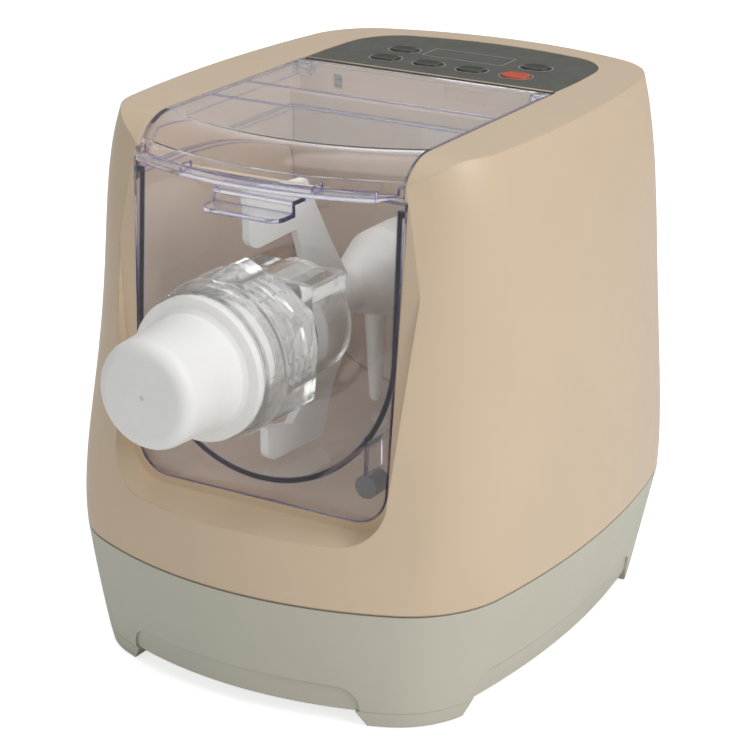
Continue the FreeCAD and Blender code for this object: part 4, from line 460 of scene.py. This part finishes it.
class Finish(Enum):
    """Every finish of the machine by its place."""

    # Shell and base both carry the painted seam shade at 65 mm.
    SHELL = MouldedPlastic("beige_shell", ink(218, 196, 168), 0.33, grain=0.000003, grain_scale=1100.0,
                           specks=0.3, edge=0.0012, seam=0.065)
    BASE = MouldedPlastic("pale_base", ink(202, 199, 183), 0.4, grain=0.000004, grain_scale=1100.0,
                          specks=0.2, edge=0.0010, seam=0.065)
    BAY = MouldedPlastic("brown_bay", ink(214, 188, 166), 0.42, grain=0.00002, specks=0.1)
    CLEAR = ClearPlastic("clear_chamber", (0.98, 0.98, 0.975), ink(54, 50, 158), ink(190, 190, 228), 6.0,
                         clarity=0.985, rim=0.0016)
    CLEAR_NUT = ClearPlastic("clear_nut", (0.97, 0.97, 0.96), ink(196, 198, 206), ink(225, 225, 222), 6.0,
                             clarity=0.9, roughness=0.05, rim_clarity=0.85, shade=0.08)
    WHITE = MilkyPlastic("kneading_white", ink(247, 248, 246), 0.35, 0.003, 0.2)
    CAP = MilkyPlastic("milky_cap", ink(251, 250, 246), 0.42, 0.005, 0.35, mark=True)
    PANEL = MouldedPlastic("panel_olive", ink(82, 82, 74), 0.38, grain=0.000006, specks=0.0, edge=0.0004)
    DISPLAY = MouldedPlastic("display_smoke", ink(76, 77, 70), 0.32, grain=0.000001, specks=0.0, edge=0.0002)
    PRINT = MouldedPlastic("printed_line", ink(172, 171, 158), 0.4, grain=0.000002, specks=0.0, edge=0.0)
    BUTTON = MouldedPlastic("button_olive", ink(62, 63, 57), 0.3, grain=0.000004, specks=0.0, edge=0.0004)
    START = MouldedPlastic("button_red", ink(202, 82, 52), 0.28, grain=0.000004, specks=0.0, edge=0.0004)
    RUBBER = MouldedPlastic("foot_rubber", ink(42, 42, 42), 0.75, grain=0.00004, specks=0.0)
    SEAL = MilkyPlastic("silicone_seal", ink(205, 205, 198), 0.5, 0.002, 0.4)
    GREY = MouldedPlastic("inner_grey", ink(150, 150, 146), 0.5, grain=0.00003)
    NYLON = MilkyPlastic("gear_nylon", ink(232, 228, 210), 0.4, 0.002, 0.2)
    CASTING = WorkedMetal("gearbox_casting", (0.62, 0.63, 0.64), 0.5, 0.00003)
    STEEL = WorkedMetal("ground_steel", (0.62, 0.62, 0.63), 0.22)
    MOTOR = WorkedMetal("motor_zinc", (0.42, 0.43, 0.45), 0.42)
    BRONZE = WorkedMetal("bearing_bronze", (0.62, 0.42, 0.2), 0.38)
    BOARD = CircuitBoard("circuit_green", ink(28, 92, 56), ink(62, 134, 80))
    BLACK = MouldedPlastic("component_black", ink(38, 38, 39), 0.45, specks=0.0)


def loft(rings: Sequence[Sequence[Point]], ends: bool = False, closed: bool = False) -> bmesh.types.BMesh:
    """Skin closed rings of equal count into one mesh.

    Args:
        rings: The rings, each with its points one way round.
        ends: Whether the first and last ring are filled.
        closed: Whether the last ring joins the first, as round a band.

    Returns:
        The mesh.
    """
    shape = bmesh.new()
    rows = [[shape.verts.new(point) for point in ring] for ring in rings]
    pairs = list(zip(rows, rows[1:]))
    if closed:
        pairs.append((rows[-1], rows[0]))
    for first, second in pairs:
        count = len(first)
        for index in range(count):
            follow = (index + 1) % count
            shape.faces.new((first[index], first[follow], second[follow], second[index]))
    if ends:
        shape.faces.new(list(reversed(rows[0])))
        shape.faces.new(rows[-1])
    return shape


def strip(lines: Sequence[Sequence[Point]]) -> bmesh.types.BMesh:
    """Skin open lines of equal count into one long closed bar.

    Args:
        lines: The lines round the bar's section, each with its points along the bar.

    Returns:
        The mesh.
    """
    return loft([[line[index] for line in lines] for index in range(len(lines[0]))], ends=True)


def rounded_frame(centre: Spot, half_x: float, half_y: float, corner: float, height: float,
                  steps: int = 6) -> list[Point]:
    """Return a level rectangle with round corners.

    Args:
        centre: Its middle in plan.
        half_x: Half its length.
        half_y: Half its width.
        corner: Its corner radius.
        height: Its height.
        steps: How many edges each corner has.

    Returns:
        Its points, one way round.
    """
    points = []
    for quarter, (side_x, side_y) in enumerate(((1, 1), (-1, 1), (-1, -1), (1, -1))):
        for step in range(steps + 1):
            turn = math.pi / 2 * (quarter + step / steps)
            points.append((centre[0] + side_x * (half_x - corner) + corner * math.cos(turn),
                           centre[1] + side_y * (half_y - corner) + corner * math.sin(turn), height))
    return points


class FinishRack:
    """Makes each finish once and hands it out."""

    def __init__(self) -> None:
        """Start with nothing made."""
        self.made: dict[Finish, bpy.types.Material] = {}

    def get(self, finish: Finish) -> bpy.types.Material:
        """Return a finish's material.

        Args:
            finish: The finish to hand out.

        Returns:
            Its material.
        """
        if finish not in self.made:
            self.made[finish] = finish.value.make()
        return self.made[finish]


@dataclass
class SubAssembly:
    """A group of construction nodes and added pieces that belong together."""

    frame: dict[str, Any]
    rack: FinishRack
    count: int = 0

    def dress(self, finish: Finish, *nodes: str) -> None:
        """Give construction nodes a finish.

        Args:
            finish: The finish.
            *nodes: Node names.
        """
        for name in nodes:
            node = self.frame["nodes"][name]
            node.data.materials.clear()
            node.data.materials.append(self.rack.get(finish))
            LOG.info("dressed %s with %s", name, finish.name)

    def add(self, name: str, shape: bmesh.types.BMesh, finish: Finish, body: str,
            slot: str) -> bpy.types.Object:
        """Turn a mesh into a piece that rides on a body.

        Args:
            name: The piece's name.
            shape: Its mesh, in the model's frame; it is freed here.
            finish: Its finish.
            body: The body it rides on.
            slot: The record's material slot; not used.

        Returns:
            The new piece.
        """
        bmesh.ops.recalc_face_normals(shape, faces=shape.faces)
        mesh = bpy.data.meshes.new(name)
        shape.to_mesh(mesh)
        shape.free()
        mesh.polygons.foreach_set("use_smooth", [True] * len(mesh.polygons))
        piece = bpy.data.objects.new(name, mesh)
        bpy.context.scene.collection.objects.link(piece)
        mesh.materials.append(self.rack.get(finish))
        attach(piece, body)
        self.count += 1
        LOG.info("made %s on %s", name, body)
        return piece

    def build(self) -> None:
        """Make and dress everything; each sub-assembly has its own."""
        raise NotImplementedError


class Casing(SubAssembly):
    """Housing, base, feet and the brown bay."""

    def build(self) -> None:
        """Dress the casing."""
        self.dress(Finish.SHELL, "upper_housing")
        self.dress(Finish.BASE, "base_shell", "corner_feet")
        self.dress(Finish.RUBBER, "rubber_pads", "cord_inlet")
        self.dress(Finish.STEEL, "foot_screws", "lid_hinge_pins")
        self.dress(Finish.BAY, "chamber_bay")
        self.dress(Finish.GREY, "bottom_plate")


class ClearParts(SubAssembly):
    """Lid, chamber, barrel and ring nut."""

    def build(self) -> None:
        """Dress the clear parts."""
        self.dress(Finish.CLEAR, "lid", "mixing_chamber")
        self.dress(Finish.CLEAR_NUT, "ring_nut", "extrusion_barrel")
        self.dress(Finish.SEAL, "chamber_shaft_seal")
        self.dress(Finish.BLACK, "chamber_bumpers")


class KneadingParts(SubAssembly):
    """Stirring bar, auger, die and nozzle cap."""

    def build(self) -> None:
        """Dress the white parts."""
        self.dress(Finish.WHITE, "stirring_bar", "auger_screw", "die_disc")
        self.dress(Finish.CAP, "nozzle_cap")


@dataclass
class ControlDeck(SubAssembly):
    """Control panel with its display, dished buttons and printed outlines."""

    panel_top: float = 0.2807
    panel_thickness: float = 0.0023
    print_height: float = 0.00008
    line_width: float = 0.0005
    outline_gap: float = 0.0012
    flange_clearance: float = 0.0003
    flange_growth: float = 0.001
    flange_height: float = 0.0012
    rim_profile: tuple[Spot, ...] = ((0.0, 0.0005), (0.0001, 0.0002), (0.0003, 0.00005), (0.0006, 0.0),
                                     (0.0009, 0.00006))
    dish_depth: float = 0.0009
    dish_flat: float = 0.0003
    dish_shares: tuple[float, ...] = (0.2, 0.4, 0.6, 0.8, 0.97)
    display_margin: float = 0.0016
    display_corner: float = 0.0012
    lip_width: float = 0.0011
    lip_height: float = 0.0005
    lip_short: float = 0.0015
    lip_back: float = 0.0001
    lip_profile: tuple[Spot, ...] = ((0.0, 0.0), (0.0, 0.6), (0.3, 1.0), (0.7, 1.0), (1.0, 0.5), (1.0, 0.0))
    lip_stations: tuple[float, ...] = (-1.0, -0.6, -0.2, 0.2, 0.6, 1.0)
    outline_points: int = 48
    buttons: tuple[str, ...] = ("menu", "minus", "plus", "start", "timer", "weigh")

    def build(self) -> None:
        """Dress the deck and make its fine pieces."""
        self.dress(Finish.PANEL, "control_panel")
        self.dress(Finish.DISPLAY, "display_window")
        self.dress(Finish.BOARD, "control_board", "supply_board")
        self.dress(Finish.BLACK, "button_switches", "display_module", "supply_components", "lid_switch")
        for label in self.buttons:
            self.make_button(label)
            self.print_outline(label)
        self.print_display_frame()
        self.make_front_lip()

    def plan(self, node: str, shrink: float = 0.0) -> tuple[Spot, float, float]:
        """Return where a node lies in plan.

        Args:
            node: The node's name.
            shrink: How much less than half its length and width to give.

        Returns:
            Its middle, half its length and half its width.
        """
        low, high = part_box(node)
        centre = ((low[0] + high[0]) / 2, (low[1] + high[1]) / 2)
        return centre, (high[0] - low[0]) / 2 - shrink, (high[1] - low[1]) / 2 - shrink

    def line_profile(self) -> tuple[Spot, ...]:
        """Return a printed line's section, as growth and height round it."""
        top = self.panel_top + self.print_height
        return (0.0, self.panel_top), (0.0, top), (self.line_width, top), (self.line_width, self.panel_top)

    def make_button(self, label: str) -> None:
        """Make one dished button over its construction node.

        Args:
            label: The button's name after its prefix.
        """
        node = f"button_{label}"
        foot, crown = (corner[2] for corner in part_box(node))
        centre, length, width = self.plan(node, self.flange_growth)
        flange_top = self.panel_top - self.panel_thickness - self.flange_clearance
        flange_low = flange_top - self.flange_height
        steps = [(0.0, foot), (0.0, flange_low), (self.flange_growth, flange_low),
                 (self.flange_growth, flange_top), (0.0, flange_top)]
        steps += [(-inward, crown - drop) for inward, drop in self.rim_profile]
        inward, drop = self.rim_profile[-1]
        reach = width - inward - self.dish_flat
        steps += [(-inward - reach * share, crown - drop - self.dish_depth * (1 - (1 - share) ** 2))
                  for share in self.dish_shares]
        rings = [self.oval(centre, length + grow, width + grow, height) for grow, height in steps]
        starts = label == "start"
        finish, slot = (Finish.START, "button_red") if starts else (Finish.BUTTON, "button_dark")
        piece = self.add(f"dished_button_{label}", loft(rings, ends=True), finish, node, slot)
        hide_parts(node)

    def oval(self, centre: Spot, length: float, width: float, height: float) -> list[Point]:
        """Return a level outline with straight sides and round ends.

        Args:
            centre: Its middle in plan.
            length: Half its length.
            width: Half its width.
            height: Its height.

        Returns:
            Its points, one way round.
        """
        points = []
        for index in range(self.outline_points):
            turn = math.tau * index / self.outline_points
            shift = math.copysign(max(length - width, 0.0), math.cos(turn))
            points.append((centre[0] + shift + width * math.cos(turn),
                           centre[1] + width * math.sin(turn), height))
        return points

    def print_outline(self, label: str) -> None:
        """Lay the thin light line round one button.

        Args:
            label: The button's name after its prefix.
        """
        centre, length, width = self.plan(f"button_{label}", self.flange_growth - self.outline_gap)
        rings = [self.oval(centre, length + grow, width + grow, height)
                 for grow, height in self.line_profile()]
        self.add(f"outline_{label}", loft(rings, closed=True), Finish.PRINT, "casing", "panel_dark")

    def print_display_frame(self) -> None:
        """Lay the thin light line round the display."""
        centre, length, width = self.plan("display_window", -self.display_margin)
        rings = [rounded_frame(centre, length + grow, width + grow, self.display_corner + grow, height)
                 for grow, height in self.line_profile()]
        self.add("outline_display", loft(rings, closed=True), Finish.PRINT, "casing", "panel_dark")

    def make_front_lip(self) -> None:
        """Make the pale lip along the panel's front edge."""
        low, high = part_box("control_panel")
        half = (high[0] - low[0]) / 2 - self.lip_short
        front = low[1] + self.lip_back
        rings = [[(half * station, front + self.lip_width * back, self.panel_top + self.lip_height * rise)
                  for station in self.lip_stations] for back, rise in self.lip_profile]
        self.add("panel_front_lip", strip(rings), Finish.SHELL, "casing", "shell_beige")


class Machinery(SubAssembly):
    """Gearbox, motor and what carries them."""

    def build(self) -> None:
        """Dress the machinery."""
        self.dress(Finish.CASTING, "gearbox_case", "gearbox_cover")
        self.dress(Finish.STEEL, "gearbox_screws", "drive_shaft", "idler_axle", "motor_pinion", "motor_shaft")
        self.dress(Finish.BRONZE, "front_bearing", "rear_bearing")
        self.dress(Finish.SEAL, "bay_shaft_seal")
        self.dress(Finish.WHITE, "drive_coupler")
        self.dress(Finish.NYLON, "output_gear", "idler_gear")
        self.dress(Finish.MOTOR, "motor_can")
        self.dress(Finish.BLACK, "cooling_fan")
        self.dress(Finish.GREY, "motor_cradle", "board_posts")


@dataclass(frozen=True)
class SoftLamp:
    """One square soft box."""

    name: str
    spot: Point
    aim: Point
    side: float
    power: float
    colour: Colour = (1.0, 1.0, 1.0)
    mirrored: bool = True

    def hang(self) -> None:
        """Put the lamp in the scene."""
        data = bpy.data.lights.new(self.name, "AREA")
        data.shape = "SQUARE"
        data.size = self.side
        data.energy = self.power
        data.color = self.colour
        lamp = bpy.data.objects.new(self.name, data)
        lamp.location = self.spot
        lamp.visible_glossy = self.mirrored
        lamp.visible_transmission = self.mirrored
        lamp.rotation_euler = (Vector(self.aim) - Vector(self.spot)).to_track_quat("-Z", "Y").to_euler()
        bpy.context.scene.collection.objects.link(lamp)


@dataclass
class Studio:
    """Pale floor, soft lamps, white surround and the camera."""

    azimuth: float = 31.156
    elevation: float = 20.725
    distance: float = 1.1543
    target: Point = (0.06326, -0.080, 0.17674)
    lens: float = 117.6
    gloss_share: float = 0.12
    fill_strength: float = 0.26
    floor_half: float = 6.0
    floor_drop: float = 0.0002
    floor_shade: float = 0.86
    floor_glow: float = 0.72
    lamps: list[SoftLamp] = field(default_factory=lambda: [
        SoftLamp("key_lamp", (1.5, -0.25, 1.15), (0.0, 0.0, 0.15), 1.1, 17.0),
        SoftLamp("top_lamp", (0.0, 0.1, 1.7), (0.0, 0.0, 0.1), 1.4, 7.0),
        SoftLamp("rear_lamp", (-1.3, 1.5, 0.8), (0.0, 0.0, 0.15), 1.2, 6.5, mirrored=False),
        SoftLamp("front_lamp", (-0.5, -1.7, 0.7), (0.0, 0.0, 0.15), 0.9, 3.6),
    ])

    def build(self) -> None:
        """Set up the whole studio."""
        self.lay_floor()
        self.light_world()
        for lamp in self.lamps:
            lamp.hang()
        self.set_camera()
        bpy.context.scene.view_settings.view_transform = "Standard"

    def seen_share(self, tree: bpy.types.NodeTree) -> bpy.types.NodeSocket:
        """Return 1 for rays that show the background, straight or through glass, and less for gloss.

        Args:
            tree: The node tree to add to.

        Returns:
            The share socket.
        """
        path = tree.nodes.new("ShaderNodeLightPath")
        gloss = tree.nodes.new("ShaderNodeMath")
        gloss.operation = "MULTIPLY"
        gloss.inputs[1].default_value = self.gloss_share
        tree.links.new(path.outputs["Is Glossy Ray"], gloss.inputs[0])
        share = path.outputs["Is Camera Ray"]
        for other in (path.outputs["Is Transmission Ray"], gloss.outputs[0]):
            either = tree.nodes.new("ShaderNodeMath")
            either.operation = "MAXIMUM"
            tree.links.new(share, either.inputs[0])
            tree.links.new(other, either.inputs[1])
            share = either.outputs[0]
        return share

    def lay_floor(self) -> None:
        """Make the pale floor, which keeps the machine's shadow."""
        shape = bmesh.new()
        bmesh.ops.create_grid(shape, x_segments=8, y_segments=8, size=self.floor_half)
        mesh = bpy.data.meshes.new("studio_floor")
        shape.to_mesh(mesh)
        shape.free()
        floor = bpy.data.objects.new("studio_floor", mesh)
        bpy.context.scene.collection.objects.link(floor)
        floor.location.z = -self.floor_drop
        graph = Graph("floor_paper")
        fibre = graph.noise(900.0, 3.0)
        matt = graph.add("ShaderNodeBsdfPrincipled", {
            "Base Color": (self.floor_shade, self.floor_shade, self.floor_shade), "Roughness": 0.85,
            "Normal": graph.relief(fibre, 0.00002)})
        glow = graph.add("ShaderNodeEmission", {"Color": (1.0, 1.0, 1.0), "Strength": self.floor_glow})
        both = graph.add("ShaderNodeAddShader", {0: matt.outputs[0], 1: glow.outputs[0]})
        pick = graph.add("ShaderNodeMixShader", {
            0: self.seen_share(graph.tree), 1: matt.outputs[0], 2: both.outputs[0]})
        graph.tree.links.new(pick.outputs[0], graph.output.inputs["Surface"])
        mesh.materials.append(graph.material)

    def light_world(self) -> None:
        """Make the surround: white where it is seen, softer where it lights."""
        world = bpy.data.worlds.new("surround")
        bpy.context.scene.world = world
        world.use_nodes = True
        tree = world.node_tree
        tree.nodes.clear()
        pick = tree.nodes.new("ShaderNodeMixShader")
        tree.links.new(self.seen_share(tree), pick.inputs[0])
        for socket, strength in ((pick.inputs[1], self.fill_strength), (pick.inputs[2], 1.0)):
            white = tree.nodes.new("ShaderNodeBackground")
            white.inputs["Strength"].default_value = strength
            white.inputs["Color"].default_value = (1.0, 1.0, 1.0, 1.0)
            tree.links.new(white.outputs[0], socket)
        output = tree.nodes.new("ShaderNodeOutputWorld")
        tree.links.new(pick.outputs[0], output.inputs["Surface"])

    def set_camera(self) -> None:
        """Put the camera where the photograph was taken from."""
        turn, rise = math.radians(self.azimuth), math.radians(self.elevation)
        back = Vector((math.sin(turn) * math.cos(rise), -math.cos(turn) * math.cos(rise), math.sin(rise)))
        data = bpy.data.cameras.new("camera")
        data.lens = self.lens
        data.sensor_width = 36.0
        data.clip_end = 50.0
        camera = bpy.data.objects.new("camera", data)
        camera.location = Vector(self.target) + back * self.distance
        camera.rotation_euler = (-back).to_track_quat("-Z", "Y").to_euler()
        bpy.context.scene.collection.objects.link(camera)
        bpy.context.scene.camera = camera


def main() -> None:
    """Load the model, light it, dress it and log how many pieces each sub-assembly adds."""
    logging.basicConfig(level=logging.INFO, format="%(message)s")
    for old in list(bpy.data.objects):
        bpy.data.objects.remove(old)
    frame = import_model()
    Studio().build()
    rack = FinishRack()
    for kind in (Casing, ClearParts, KneadingParts, ControlDeck, Machinery):
        part = kind(frame, rack)
        part.build()
        LOG.info("%s: %d added pieces", kind.__name__, part.count)


if __name__ == "__main__":
    main()
